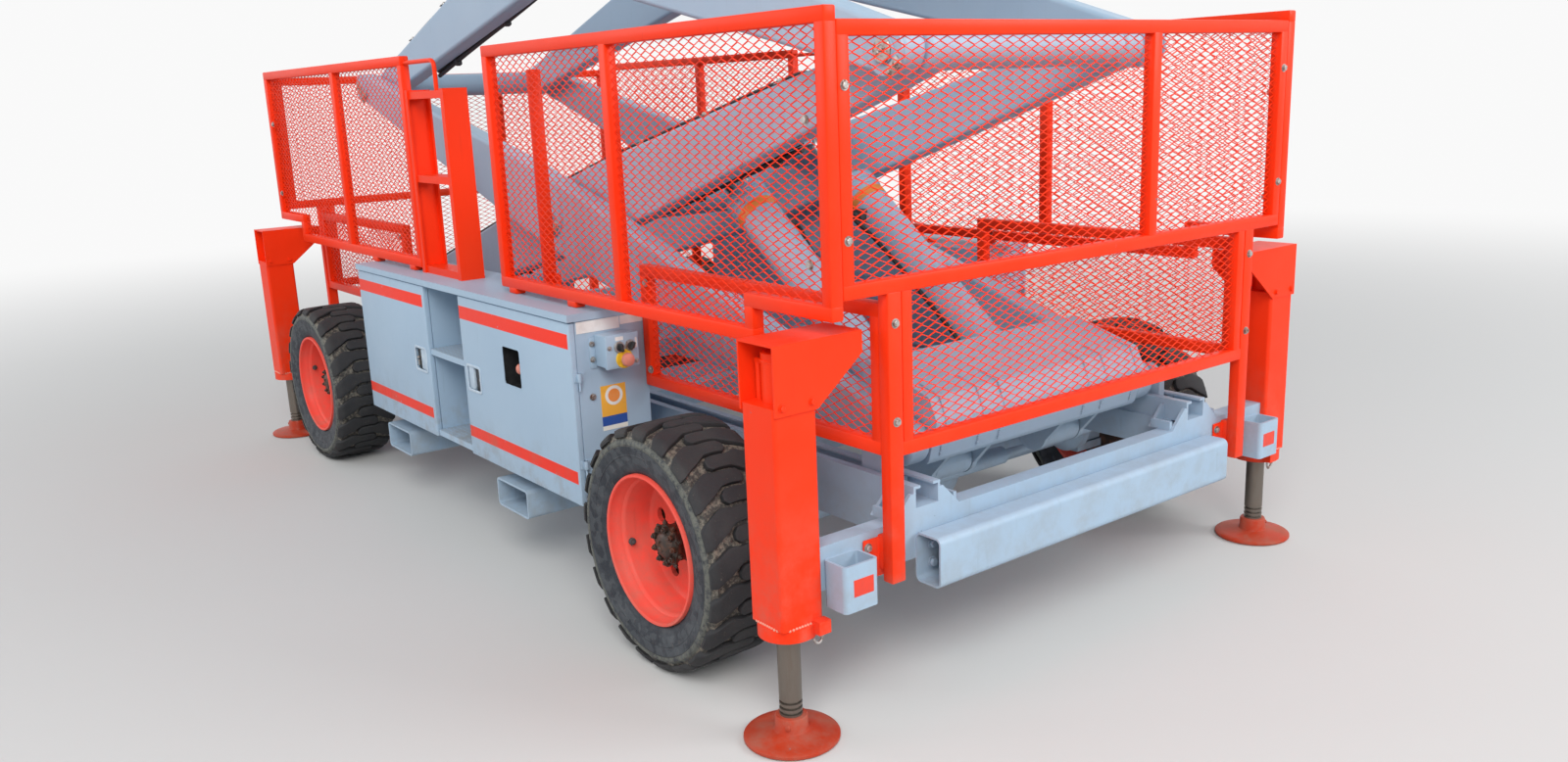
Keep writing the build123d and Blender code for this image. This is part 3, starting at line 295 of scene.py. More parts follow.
# Places taken from the frame, and places that the finishes are bound to
door_rear_low, door_rear_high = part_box("door_rear_right")
door_front_low, door_front_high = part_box("door_front_right")
tyre_low, tyre_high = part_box("tyre_front_right")
wheel_x, wheel_y, wheel_z = (tyre_low + tyre_high) / 2
wheel_y = -wheel_y
tyre_radius = (tyre_high.z - tyre_low.z) / 2
tyre_half = (tyre_high.y - tyre_low.y) / 2

BAND_TOP = (0.925, 0.976)
BAND_LOW = (0.455, 0.5)
BAND_Y = 1.124
BAND_REAR = (door_rear_low.x, door_rear_high.x - 0.02)
BAND_FRONT = (door_front_low.x, door_front_high.x - 0.03)
STEP_X_RANGE = (-0.172, 0.163)
LOW_STEP = (0.4085, 0.412)
HIGH_STEP = (0.7535, 0.757)
DECK_TOP = (5.4485, 5.4497)
EXTENSION_TOP = (5.4835, 5.485)
STICKER_Y = (-1.022, -0.925)
STICKER_Z = (0.627, 0.783)

orange = chipped_paint("orange_enamel", ORANGE, ORANGE_WORN, ORANGE_DARK)
grey = chipped_paint("grey_enamel", GREY, GREY_WORN, GREY_DARK)
pad_orange = chipped_paint("pad_enamel", (0.48, 0.04, 0.012), (0.3, 0.035, 0.016), CAST)
rim_orange = chipped_paint("rim_enamel", (0.88, 0.085, 0.06), (0.8, 0.12, 0.09), ORANGE_DARK)
cabinet_grey = banded_paint("cabinet_enamel")
deck_grey = deck_paint("deck_enamel")
rubber = tyre_rubber("tyre_rubber_dusty")
groove = groove_rubber("carcass_rubber")
rod_steel = plain_metal("rod_steel", (0.2, 0.175, 0.15), (0.18, 0.15, 0.125), 0.32, 0.85, 26.0,
                        (1.0, 1.0, 0.15))
bright_rod = plain_metal("plated_rod", (0.55, 0.54, 0.53), (0.4, 0.39, 0.38), 0.16, 0.95, 18.0)
zinc = plain_metal("zinc_bolts", (0.45, 0.44, 0.42), RUST, 0.38, 0.8, 60.0)
grease = mottled("greasy_hub", GREASE, RUST, 0.42, 40.0, 0.002)
hose_black = mottled("hose_rubber", (0.012, 0.012, 0.013), (0.03, 0.03, 0.03), 0.45, 80.0)
cast = mottled("cast_iron", CAST, GREASE, 0.55, 22.0, 0.002)
white_plate = mottled("white_plate", (0.78, 0.78, 0.76), (0.6, 0.59, 0.56), 0.35, 18.0)
yellow_plate = mottled("yellow_plastic", (0.82, 0.52, 0.03), (0.6, 0.34, 0.02), 0.4, 50.0)
black_plastic = mottled("black_plastic", (0.02, 0.02, 0.022), (0.045, 0.045, 0.045), 0.4, 60.0)
latch_steel = mottled("latch_steel", (0.42, 0.52, 0.62), (0.6, 0.68, 0.74), 0.35, 45.0, 0.0003)
pink_plastic = mottled("pink_button", (0.66, 0.22, 0.16), (0.5, 0.2, 0.15), 0.4, 60.0)
red_field = mottled("red_field", (0.74, 0.045, 0.02), (0.6, 0.05, 0.03), 0.3, 40.0)
bare_weld = mottled("bare_weld", (0.72, 0.3, 0.22), (0.6, 0.16, 0.1), 0.5, 90.0, 0.001)
sticker_orange = mottled("sticker_orange", (0.8, 0.26, 0.05), (0.72, 0.3, 0.1), 0.4, 60.0)
sticker_print = sticker("sticker_print", [(None, (0.8, 0.72, 0.4)), (0.0, (0.82, 0.81, 0.74)),
                                          (0.1, (0.03, 0.09, 0.36)), (0.313, (0.86, 0.42, 0.05))], *STICKER_Z)

finishes = {"orange_paint": orange, "grey_paint": grey, "tyre_rubber": rubber, "outrigger_steel": orange,
            "rod_chrome": bright_rod, "engine_iron": cast}
special = {"platform_deck": deck_grey, "extension_deck": deck_grey}
for side in ("right", "left"):
    special.update({f"{part}_{side}": cabinet_grey for part in ("cabinet", "door_rear", "door_front")})
slot_of = {part["node"]: part["material_slot"] for part in frame["record"]["subparts"]}
for node, obj in frame["nodes"].items():
    obj.data.materials.clear()
    obj.data.materials.append(special.get(node) or finishes[slot_of[node]])


def active():
    return bpy.context.view_layer.objects.active


def clear():
    bpy.ops.object.select_all(action="DESELECT")


def only(piece):
    """Select this piece alone and make it the active one."""
    clear()
    piece.select_set(True)
    bpy.context.view_layer.objects.active = piece
    return piece


def linked(name, data):
    """A new object with the data, as the only selected and active one."""
    piece = bpy.data.objects.new(name, data)
    bpy.context.scene.collection.objects.link(piece)
    return only(piece)


def remove(*pieces):
    for piece in pieces:
        bpy.data.objects.remove(piece)


def named(name, material, body="chassis", instead=None):
    """Give the active new piece its name, finish and body, and hide the node that it replaces, if any."""
    piece = active()
    piece.name = name
    piece.data.name = name
    piece.data.materials.clear()
    piece.data.materials.append(material)
    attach(piece, body)
    if instead:
        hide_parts(instead)
    clear()


def modify(kind, **settings):
    """Add a modifier to the active piece and apply it."""
    modifier = active().modifiers.new(kind.lower(), kind)
    for key, value in settings.items():
        setattr(modifier, key, value)
    bpy.ops.object.modifier_apply(modifier=modifier.name)


@contextmanager
def editing(kind="VERT", choose="SELECT"):
    """Edit mode on the active piece, picking by kind, with all of it selected unless choose says otherwise."""
    bpy.ops.object.mode_set(mode="EDIT")
    bpy.ops.mesh.select_mode(type=kind)
    if choose:
        bpy.ops.mesh.select_all(action=choose)
    yield bpy.ops.mesh
    bpy.ops.mesh.select_mode(type="VERT")
    bpy.ops.object.mode_set(mode="OBJECT")


def face_outward(mesh):
    """Turn the normals of the whole piece in edit mode outwards."""
    mesh.select_all(action="SELECT")
    mesh.normals_make_consistent(inside=False)


def drop_faces(test):
    """Delete the active piece's faces for which test is true."""
    with editing(choose="DESELECT"):
        pass
    for face in active().data.polygons:
        face.select = test(face)
    with editing("FACE", None) as mesh:
        mesh.delete(type="FACE")


def smooth(angle=35):
    bpy.ops.object.shade_smooth_by_angle(angle=math.radians(angle))


def spin(degrees, axis):
    return Matrix.Rotation(math.radians(degrees), 4, axis)


def at(x, y, z):
    return Matrix.Translation((x, y, z))


def flipped(x=1, y=1):
    """Matrix that scales along X and Y, to mirror where it is given -1."""
    return Matrix.Diagonal((x, y, 1, 1))


def placed(piece, *matrices):
    """Move the piece's mesh through the matrices, the last one first."""
    whole = Matrix.Identity(4)
    for matrix in matrices:
        whole = whole @ matrix
    piece.data.transform(whole)
    if whole.determinant() < 0:
        piece.data.flip_normals()
    return piece


def primitive(kind, *matrices, **settings):
    """Mesh primitive moved through the matrices, as the only selected and active object."""
    clear()
    getattr(bpy.ops.mesh, f"primitive_{kind}_add")(**settings)
    return placed(active(), *matrices)


def block(low, high, bevel=0.003, segments=2):
    """Rounded block between two opposite corners, as the active object."""
    low, high = Vector(low), Vector(high)
    size = [abs(side) for side in high - low]
    primitive("cube", Matrix.Translation((low + high) / 2), Matrix.Diagonal((*size, 1)), size=1)
    if bevel:
        modify("BEVEL", width=bevel, segments=segments)
        smooth()
    return active()


def rod(start, end, radius, vertices=20, bevel=0.0):
    """Round bar between two points, as the active object."""
    start, end = Vector(start), Vector(end)
    run = end - start
    piece = primitive("cylinder", vertices=vertices, radius=radius, depth=run.length)
    aim = run.to_track_quat("Z", "Y").to_matrix().to_4x4()
    piece.matrix_world = Matrix.Translation((start + end) / 2) @ aim
    bpy.ops.object.transform_apply(location=True, rotation=True, scale=True)
    if bevel:
        modify("BEVEL", width=bevel, segments=2, limit_method="ANGLE")
    smooth()
    return active()


def joined(pieces):
    """Join pieces into one active object."""
    clear()
    for piece in pieces:
        piece.select_set(True)
    bpy.context.view_layer.objects.active = pieces[0]
    if len(pieces) > 1:
        bpy.ops.object.join()
    return active()


def twin(template):
    """A copy of the template with its own mesh, as the active object."""
    return linked("twin", template.data.copy())


def copies(template, places):
    """One active object made of copies of the template at the given matrices. The template goes."""
    made = [placed(twin(template), place) for place in places]
    remove(template)
    return joined(made)


def facing(point, direction, turn=0.0):
    """Matrix that puts a template's +Z along direction at point."""
    aim = Vector(direction).to_track_quat("Z", "Y").to_matrix().to_4x4()
    return Matrix.Translation(point) @ aim @ Matrix.Rotation(turn, 4, "Z")


def bolt(radius=0.009, height=0.007):
    """Hexagon bolt head on a washer, standing on z = 0."""
    head = primitive("cylinder", at(0, 0, height / 2 + 0.002), vertices=6, radius=radius, depth=height)
    modify("BEVEL", width=radius * 0.12, segments=1)
    washer = primitive("cylinder", at(0, 0, 0.001), vertices=16, radius=radius * 1.35, depth=0.002)
    return joined([head, washer])


def mirrored(low, high, end, side):
    """Corners of a box given for the front right, moved to another corner of the machine."""
    return (low[0] * end, low[1] * -side, low[2]), (high[0] * end, high[1] * -side, high[2])


AXIS = 0.001  # Radius that stands for the axis, where a section closes


def lathe(section, vertices=64):
    """Closed solid of revolution about Z from (radius, height) points, as the active object."""
    radius, height = section[0]
    primitive("circle", at(0, 0, height), vertices=vertices, radius=radius)
    with editing() as mesh:
        for next_radius, next_height in section[1:] + section[:1]:
            mesh.extrude_region_move(TRANSFORM_OT_translate={"value": (0, 0, next_height - height)})
            scale = next_radius / radius
            bpy.ops.transform.resize(value=(scale, scale, 1), center_override=(0, 0, 0))
            radius, height = next_radius, next_height
        mesh.select_all(action="SELECT")
        mesh.remove_doubles(threshold=0.00005)
        mesh.normals_make_consistent(inside=False)
    smooth(40)
    return active()


def turned(outline, vertices):
    """Solid of revolution without a bore, from its outline between two points on its axis."""
    ends = [(AXIS, outline[0][1])], [(AXIS, outline[-1][1])]
    return lathe(ends[0] + outline + ends[1], vertices)


def hose(points, radius, vertices=8):
    """Smooth hose through control points, as the active object."""
    curve = bpy.data.curves.new("hose", "CURVE")
    curve.dimensions = "3D"
    curve.bevel_depth = radius
    curve.bevel_resolution = vertices // 4
    curve.resolution_u = 6
    curve.use_fill_caps = True
    spline = curve.splines.new("NURBS")
    spline.points.add(len(points) - 1)
    for knot, point in zip(spline.points, points):
        knot.co = (*point, 1)
    spline.order_u = 3
    spline.use_endpoint_u = True
    linked("hose", curve)
    bpy.ops.object.convert(target="MESH")
    smooth(60)
    return active()


def cut(piece, cutter):
    """Take the cutter out of the piece, and remove the cutter."""
    bpy.context.view_layer.objects.active = piece
    modify("BOOLEAN", object=cutter, operation="DIFFERENCE", solver="EXACT")
    remove(cutter)
    only(piece)


def weld(points, radius=0.006, lump=0.35):
    """Bead of weld through the points, swelling and thinning along its run."""
    beads = []
    for start, stop in zip(points, points[1:]):
        start, stop = Vector(start), Vector(stop)
        count = max(1, round((stop - start).length / (radius * 1.7)))
        for number in range(count):
            spot = Matrix.Translation(start.lerp(stop, (number + 0.5) / count))
            swell = radius * (1 + lump * math.sin(number * 2.3))
            beads.append(primitive("ico_sphere", spot, subdivisions=1, radius=swell))
    joined(beads)
    smooth(80)
    return active()


CORNERS = {(1, -1): "front_right", (1, 1): "front_left", (-1, -1): "rear_right", (-1, 1): "rear_left"}
FRONT_TWO = [(1, -1), (1, 1)]


def spread(template, name, material, places=CORNERS):
    """Copies of a chassis piece made for the front right, one for each given corner, as one piece."""
    copies(template, [flipped(end, -side) for end, side in places])
    named(name, material, "chassis")


# Guards: tube frames with expanded metal in them
TUBE = 0.04
HALF = TUBE / 2
LET_IN = 0.0045
GUARD_Y = 1.019
SIDE_START = {1: 0.394, -1: 0.38}
SIDE_LOW = 1.082
SIDE_TOP = 1.928
STEP_LOW = 1.179
STEP_X = 1.97
MIDDLE_BACK = 0.12
FOOT_X = (0.454, 0.9)
FOOT_WIDE = 0.06
CAB_TOP = 1.0432
END_X = 2.288
END_LOW = 1.208
END_TOP = 1.896
END_POST = (0.26, 0.3)
END_HALF = GUARD_Y - HALF
POST_Y = 0.825
POST_HALF = 0.025
POST_FOOT = 0.4
LOWER_Z = 0.76
PANEL_BACK = 1.064
BEAM_OUT = 2.24

# Expanded metal: zigzag strands that meet at the diamonds' narrow corners
DIAMOND_LONG = 0.0505
DIAMOND_SHORT = 0.0258
STRAND_WIDE = 0.0033
STRAND_THICK = 0.0026
STRAND_TILT = 0.0007
OVERLAP = 0.0006


def expanded_metal(name, u_range, z_range, to_world):
    """Sheet of diamonds over a rectangle u, z, placed by to_world(u, depth, z)."""
    columns = max(1, round((u_range[1] - u_range[0]) / DIAMOND_LONG))
    rows = max(1, round((z_range[1] - z_range[0]) / DIAMOND_SHORT))
    long = (u_range[1] - u_range[0]) / columns
    short = (z_range[1] - z_range[0]) / rows
    swing = short / 4 - STRAND_WIDE / 2 + OVERLAP
    strand = primitive("plane", size=1)
    section = ((-STRAND_THICK / 2, -STRAND_WIDE / 2), (STRAND_THICK / 2, -STRAND_WIDE / 2 + STRAND_TILT),
               (STRAND_THICK / 2, STRAND_WIDE / 2), (-STRAND_THICK / 2, STRAND_WIDE / 2 - STRAND_TILT))
    loop = [strand.data.loops[i].vertex_index for i in strand.data.polygons[0].loop_indices]
    for vertex, (depth, height) in zip(loop, section):
        strand.data.vertices[vertex].co = (0, depth, height - swing)
    with editing() as mesh:
        for climb in (2 * swing, -2 * swing):
            mesh.extrude_region_move(TRANSFORM_OT_translate={"value": (long / 2, 0, climb)})
    drop_faces(lambda face: abs(face.normal.x) > 0.999)
    other = twin(strand)
    other.data.transform(at(0, 0, short / 2) @ Matrix.Diagonal((1, 1, -1, 1)))
    joined([strand, other])
    modify("ARRAY", count=columns, use_relative_offset=False, use_constant_offset=True,
           constant_offset_displace=(long, 0, 0), use_merge_vertices=True, merge_threshold=0.0002)
    modify("ARRAY", count=rows, use_relative_offset=False, use_constant_offset=True,
           constant_offset_displace=(0, 0, short))
    for vertex in active().data.vertices:
        u, depth, z = vertex.co
        vertex.co = to_world(u_range[0] + u, depth, z_range[0] + short / 4 + z)
    with editing() as mesh:
        face_outward(mesh)
    named(name, orange)


def upright(x, y, low, high):
    """Corners of a tube between two others, let into their rounded edges."""
    return (x[0], y[0], low - LET_IN), (x[1], y[1], high + LET_IN)


def side_tubes(start):
    """Tubes of one side guard at the front right, and where its middle post starts."""
    low = SIDE_LOW + HALF
    step_low = STEP_LOW - HALF
    stop = END_X + HALF
    middle = (start + stop) / 2 - MIDDLE_BACK
    y = (-GUARD_Y - HALF, -GUARD_Y + HALF)
    rails = [(start, stop, SIDE_TOP - TUBE, SIDE_TOP), (start, STEP_X, low - TUBE, low),
             (STEP_X - TUBE, stop, step_low, step_low + TUBE)]
    boxes = [((x0, y[0], z0), (x1, y[1], z1)) for x0, x1, z0, z1 in rails]
    posts = [(start, low, SIDE_TOP - TUBE), (middle, low, SIDE_TOP - TUBE), (STEP_X - TUBE, low, step_low),
             (stop - TUBE, step_low + TUBE, SIDE_TOP - TUBE)]
    boxes += [upright((x, x + TUBE), y, z0, z1) for x, z0, z1 in posts]
    boxes += [((x, y[0], CAB_TOP), (x + FOOT_WIDE, y[1], low - TUBE + LET_IN)) for x in FOOT_X]
    return boxes, middle


def corner_tubes():
    """Post, bracket, uprights and small side panel of an end guard, at the front right."""
    inner = END_X - HALF
    outer = END_X + HALF
    side = (-POST_Y - HALF, -POST_Y + HALF)
    post = (-POST_Y - POST_HALF, -POST_Y + POST_HALF)
    boxes = [((inner, post[0], POST_FOOT), (outer, post[1], END_LOW + LET_IN)),
             upright((inner, outer), (-END_HALF, -END_HALF + TUBE), END_LOW + TUBE, END_TOP - TUBE),
             upright((inner + 0.001, outer - 0.001), (post[1] + 0.002, post[1] + TUBE),
                     LOWER_Z + TUBE, END_LOW)]
    boxes += [upright((x, x + TUBE), side, LOWER_Z + TUBE, STEP_LOW - TUBE) for x in (PANEL_BACK, inner - TUBE)]
    boxes += [((PANEL_BACK, side[0], z), (inner, side[1], z + TUBE)) for z in (LOWER_Z, STEP_LOW - TUBE)]
    foot = ((BEAM_OUT, post[0] - 0.05, POST_FOOT + 0.008), (BEAM_OUT + 0.008, post[1] + 0.045, 0.524))
    spacer = ((BEAM_OUT, post[0] + 0.005, POST_FOOT + 0.03), (inner + LET_IN, post[1] - 0.005, 0.53))
    return boxes + [foot, spacer]


def end_tubes():
    """Cross tubes and middle post of an end guard."""
    x = (END_X - HALF, END_X + HALF)
    lower = POST_Y - POST_HALF + LET_IN
    rows = [(END_HALF, END_LOW), (END_HALF, END_TOP - TUBE), (lower, LOWER_Z)]
    boxes = [((x[0], -half, z), (x[1], half, z + TUBE)) for half, z in rows]
    return boxes + [upright(x, END_POST, END_LOW + TUBE, END_TOP - TUBE)]


frames = []
for (end, side), corner in CORNERS.items():
    start = SIDE_START[end]
    tubes, middle = side_tubes(start)
    frames += [block(*mirrored(low, high, end, side), 0.005) for low, high in tubes]
    spans = (("a", start + TUBE, middle, SIDE_LOW + HALF), ("b", middle + TUBE, STEP_X - TUBE, SIDE_LOW + HALF),
             ("c", STEP_X - TUBE, END_X - HALF, STEP_LOW + HALF))
    for letter, x0, x1, low in spans:
        expanded_metal(f"side_mesh_{corner}_{letter}", (x0, x1), (low, SIDE_TOP - TUBE),
                       lambda u, depth, z: (end * u, side * GUARD_Y + depth, z))
joined(frames)
named("side_guard_frames", orange, instead="side_guards")

for end, word in ((1, "front"), (-1, "rear")):
    tubes = [block(*mirrored(low, high, end, side), 0.005) for side in (-1, 1) for low, high in corner_tubes()]
    joined(tubes + [block(*mirrored(low, high, end, -1), 0.005) for low, high in end_tubes()])
    named(f"end_guard_frame_{word}", orange, instead=f"end_guard_{word}")
    faces = (("a", -END_HALF + TUBE, END_POST[0], END_LOW + TUBE, END_TOP - TUBE),
             ("b", END_POST[1], END_HALF - TUBE, END_LOW + TUBE, END_TOP - TUBE),
             ("c", -POST_Y + POST_HALF + TUBE, POST_Y - POST_HALF - TUBE, LOWER_Z + TUBE, END_LOW))
    for letter, y0, y1, z0, z1 in faces:
        expanded_metal(f"end_mesh_{word}_{letter}", (y0, y1), (z0, z1),
                       lambda u, depth, z: (end * END_X + depth, u, z))
    for side in (-1, 1):
        expanded_metal(f"low_mesh_{CORNERS[end, side]}", (PANEL_BACK + TUBE, END_X - HALF - TUBE),
                       (LOWER_Z + TUBE, STEP_LOW - TUBE),
                       lambda u, depth, z: (end * u, side * POST_Y + depth, z))


# Tyres: a spun carcass with a ring on each wall, and curved lugs with narrow dusty grooves
LUGS = 21
LUG_GROOVE = 0.0105
LUG_INNER = -0.34
LUG_ARCH = 0.046
LUG_END = 0.079
LUG_DEPTH = 0.026
CARCASS = tyre_radius - 0.017
BEAD_RADIUS = 0.2388
WALL = [(BEAD_RADIUS, 0.117), (0.248, 0.124), (0.262, 0.129), (0.285, 0.134), (0.31, 0.139), (0.328, 0.1415),
        (0.338, 0.1425), (0.343, 0.1412), (0.346, 0.137), (0.352, 0.133), (CARCASS, 0.122)]


def rise(value, start, length):
    """0 up to start, then evenly up to 1 over the length."""
    return min(1.0, max(0.0, (value - start) / length))


def lug():
    """One long lug at the top of the wheel: narrow past the middle of the tread, broad at the +Y shoulder."""
    template = primitive("grid", x_subdivisions=4, y_subdivisions=14, size=2)
    slim = math.pi * tyre_radius / LUGS - LUG_GROOVE
    for vertex in template.data.vertices:
        share = LUG_INNER + (1 - LUG_INNER) * (vertex.co.y + 1) / 2
        width = slim + (LUG_END - slim) * rise(share, 0.24, 0.26)
        width *= 0.4 + 0.6 * math.sqrt(1 - (1 - rise(share, LUG_INNER, 0.12)) ** 2)
        width -= 0.016 * rise(share, 0.9, 0.1)
        around = -LUG_ARCH * (1 - share * share) + 0.01 * rise(share, 0.5, 0.5) + vertex.co.x * width / 2
        drop = 0.003 * share * share + 0.017 * rise(share, 0.88, 0.12)
        vertex.co = (around, share * (tyre_half - 0.0015), tyre_radius - 0.0006 - drop)
    with editing() as mesh:
        mesh.extrude_region_move(TRANSFORM_OT_translate={"value": (0, 0, -LUG_DEPTH)})
        face_outward(mesh)
    modify("BEVEL", width=0.003, segments=2, limit_method="ANGLE", angle_limit=math.radians(50))
    for vertex in template.data.vertices:
        around, across, radius = vertex.co
        radius = max(radius, CARCASS - 0.012)
        turn = around / tyre_radius
        vertex.co = (radius * math.sin(turn), across, radius * math.cos(turn))
    smooth()
    return template


section = [(radius, -across) for radius, across in WALL] + [(CARCASS, 0.0)]
section += [(radius, across) for radius, across in reversed(WALL)] + [(BEAD_RADIUS + 0.012, 0.0)]
carcass_template = placed(lathe(section, 96), spin(-90, "X"))
turns = []
for number in range(LUGS):
    pitch = 360 / LUGS
    turns += [spin(pitch * number, "Y"), spin(pitch * (number + 0.5), "Y") @ flipped(y=-1)]
lugs_template = copies(lug(), turns)

# Rims: a folded lip, a stepped well and a dished disc with five holes
RIM = [(0.2385, -0.13), (0.2385, 0.1262), (0.2365, 0.13), (0.2295, 0.13), (0.227, 0.1265), (0.2265, 0.108),
       (0.2225, 0.1), (0.219, 0.086), (0.2125, 0.08), (0.2105, 0.074), (0.2105, 0.04), (0.2085, 0.034),
       (0.2085, 0.002), (0.2055, -0.01), (0.197, -0.0175), (0.185, -0.02), (0.09, -0.02),
       (0.078, -0.016), (0.062, -0.0145), (0.0446, -0.0145), (0.0446, -0.036), (0.2105, -0.036),
       (0.2105, -0.09), (0.2265, -0.13)]
HOLE_PITCH = 0.152
rim_template = lathe(RIM, 96)
for number in range(5):
    turn = math.radians(number * 72 + 20)
    spot = (HOLE_PITCH * math.cos(turn), HOLE_PITCH * math.sin(turn))
    cut(rim_template, rod((*spot, -0.06), (*spot, 0.02), 0.024, 32))
smooth(30)

# Hubs: a greasy drum standing out of the disc, nuts round its end, and a valve in the rim's barrel
HUB = [(0.0446, 0.045), (0.0446, -0.018), (0.068, -0.018), (0.068, -0.008), (0.06, -0.004), (0.058, 0.038),
       (0.06, 0.042), (0.064, 0.044), (0.065, 0.048), (0.065, 0.056), (0.062, 0.06), (0.044, 0.062),
       (0.04, 0.069), (0.033, 0.075), (0.018, 0.077), (0.016, 0.073)]
BACKING = [(0.045, -0.052), (0.19, -0.052), (0.19, -0.044), (0.045, -0.044)]
STUDS = 9
hub_template = joined([turned(HUB, 40), lathe(BACKING, 64)])
studs = []
for lead, radius, height, lean in ((0, 0.0545, 0.059, None), (0.5, 0.062, 0.05, spin(90, "Y"))):
    for turn in [2 * math.pi * (number + lead) / STUDS for number in range(STUDS)]:
        spot = at(radius * math.cos(turn), radius * math.sin(turn), height)
        if lean:
            studs.append(spot @ Matrix.Rotation(turn, 4, "Z") @ lean @ Matrix.Scale(0.8, 4))
        else:
            studs.append(spot @ Matrix.Rotation(7 * turn, 4, "Z"))
studs_template = copies(joined([rod((0, 0, 0), (0, 0, 0.02), 0.0055, 12, 0.001), bolt(0.0105, 0.012)]), studs)
VALVE_ROOT = (-0.2115, 0.0, 0.06)
valve_template = joined([rod(VALVE_ROOT, (-0.184, 0.0, 0.068), 0.0055, 12, 0.001),
                         rod(VALVE_ROOT, (-0.2, 0.0, 0.063), 0.012, 16, 0.002)])

for (end, side), corner in CORNERS.items():
    stand = spin(-90 * side, "X")
    for template, name, material, slot, node, turn in (
            (carcass_template, "tyre_carcass", groove, "tyre_rubber", "tyre", flipped()),
            (lugs_template, "tyre_lugs", rubber, "tyre_rubber", None, flipped(y=side)),
            (rim_template, "rim_dished", rim_orange, "orange_paint", "rim", stand),
            (hub_template, "hub", grease, "engine_iron", None, stand),
            (studs_template, "wheel_studs", grease, "engine_iron", None, stand),
            (valve_template, "valve", cast, "engine_iron", None, spin(12 * side * end, "Y") @ stand)):
        placed(twin(template), at(end * wheel_x, side * wheel_y, wheel_z), turn)
        named(f"{name}_{corner}", material, f"wheel_{corner}", node and f"{node}_{corner}")
remove(carcass_template, lugs_template, rim_template, hub_template, studs_template, valve_template)


# Outrigger feet: dished pad with a socket, steel rod with ring grooves near its foot
LEG_X = 2.191
LEG_Y = 1.13
LEG_HALF = 0.07
PAD = [(0.131, 0.002), (0.134, 0.005), (0.134, 0.012), (0.131, 0.0145), (0.11, 0.0165), (0.085, 0.0205),
       (0.064, 0.025), (0.05, 0.0275), (0.047, 0.034), (0.0455, 0.066), (0.043, 0.0705), (0.036, 0.0715)]
ROD_RADIUS = 0.032
GROOVE_RADIUS = 0.0255
ROD = [(ROD_RADIUS, 0.069)]
for groove_low in (0.077, 0.093, 0.109):
    ROD += [(ROD_RADIUS, groove_low), (GROOVE_RADIUS, groove_low + 0.0015),
            (GROOVE_RADIUS, groove_low + 0.0065), (ROD_RADIUS, groove_low + 0.008)]
ROD.append((ROD_RADIUS, 0.7))
pad_template = joined([turned(PAD, 72), placed(rod((0.03, 0, 0.05), (0.053, 0, 0.05), 0.007, 16, 0.0015),
                                               spin(-50, "Z"))])
rod_template = turned(ROD, 56)
for (end, side), corner in CORNERS.items():
    centre = at(end * LEG_X, side * LEG_Y, 0) @ flipped(end, -side)
    placed(twin(pad_template), centre)
    named(f"pad_{corner}", pad_orange, f"outrigger_{corner}", f"outrigger_foot_{corner}")
    placed(twin(rod_template), centre)
    named(f"foot_rod_{corner}", rod_steel, f"outrigger_{corner}")
remove(pad_template, rod_template)

# Legs: worn weld where the tube meets its collar, the hood's bolts, the cylinder's cap and a lock pin
COLLAR_TOP = 0.3505
HOOD_X = (2.115, 2.267)
CAP_TOP = 1.084
foot_edge = []
for turn in [2 * math.pi * number / 48 for number in range(49)]:
    reach = min(LEG_HALF / max(abs(math.cos(turn)), abs(math.sin(turn)), 0.01), 0.0815)
    foot_edge.append((LEG_X + reach * math.cos(turn), -LEG_Y + reach * math.sin(turn), COLLAR_TOP))
spread(weld(foot_edge, 0.0052), "leg_welds", bare_weld)
hood_bolts = [facing((x, y, 0.957), (out, 0, 0), 0.3 * out)
              for x, out in zip(HOOD_X, (-1, 1)) for y in (-1.178, -1.08)]
spread(copies(bolt(0.008, 0.006), hood_bolts), "hood_bolts", orange)
cap = turned([(0.0425, CAP_TOP - 0.001), (0.0425, CAP_TOP + 0.002), (0.04, CAP_TOP + 0.004),
              (0.03, CAP_TOP + 0.004), (0.028, CAP_TOP + 0.001)], 40)
ring = lathe([(0.0415, 1.062), (0.0445, 1.063), (0.0445, 1.069), (0.0415, 1.07)], 40)
spread(placed(joined([cap, ring]), at(LEG_X, -LEG_Y, 0)), "leg_cylinder_caps", orange)
lock_pin = hose([(2.2705, -1.075, 0.318), (2.2705, -1.075, 0.296), (2.2705, -1.098, 0.292),
                 (2.2705, -1.106, 0.312)], 0.004)
spread(lock_pin, "leg_pins", zinc)


# Doors: panels with hinges, latches in rounded frames, and a window with a knob behind it
DOOR_OUT = -1.124
DOOR_IN = -1.1013
DOOR_TOP = 1.013
HINGE_Z = (0.51, 0.813)
HINGE_GAP = 0.0163
HINGE_OUT = 0.0083
LATCH = {"front": 0.259, "rear": -0.266}
LATCH_Z = (0.644, 0.754)
LATCH_HALF = 0.064
WINDOW = (0.53, 0.671, 0.725, 0.869)
WELL_BACK = -1.04


def rounded_frame(width, height, wall, depth, corner):
    """Rounded rectangular ring in the XZ plane, its back on y = 0, standing towards -Y."""
    primitive("plane", spin(90, "X"), Matrix.Diagonal((width, height, 1, 1)), size=1)
    with editing() as mesh:
        mesh.bevel(offset=corner, segments=5, affect="VERTICES")
        mesh.inset(thickness=wall, depth=0)
        mesh.delete(type="FACE")
        mesh.select_all(action="SELECT")
        mesh.extrude_region_move(TRANSFORM_OT_translate={"value": (0, -depth, 0)})
        face_outward(mesh)
    modify("BEVEL", width=depth * 0.4, segments=2, limit_method="ANGLE", angle_limit=math.radians(50))
    smooth()
    return active()


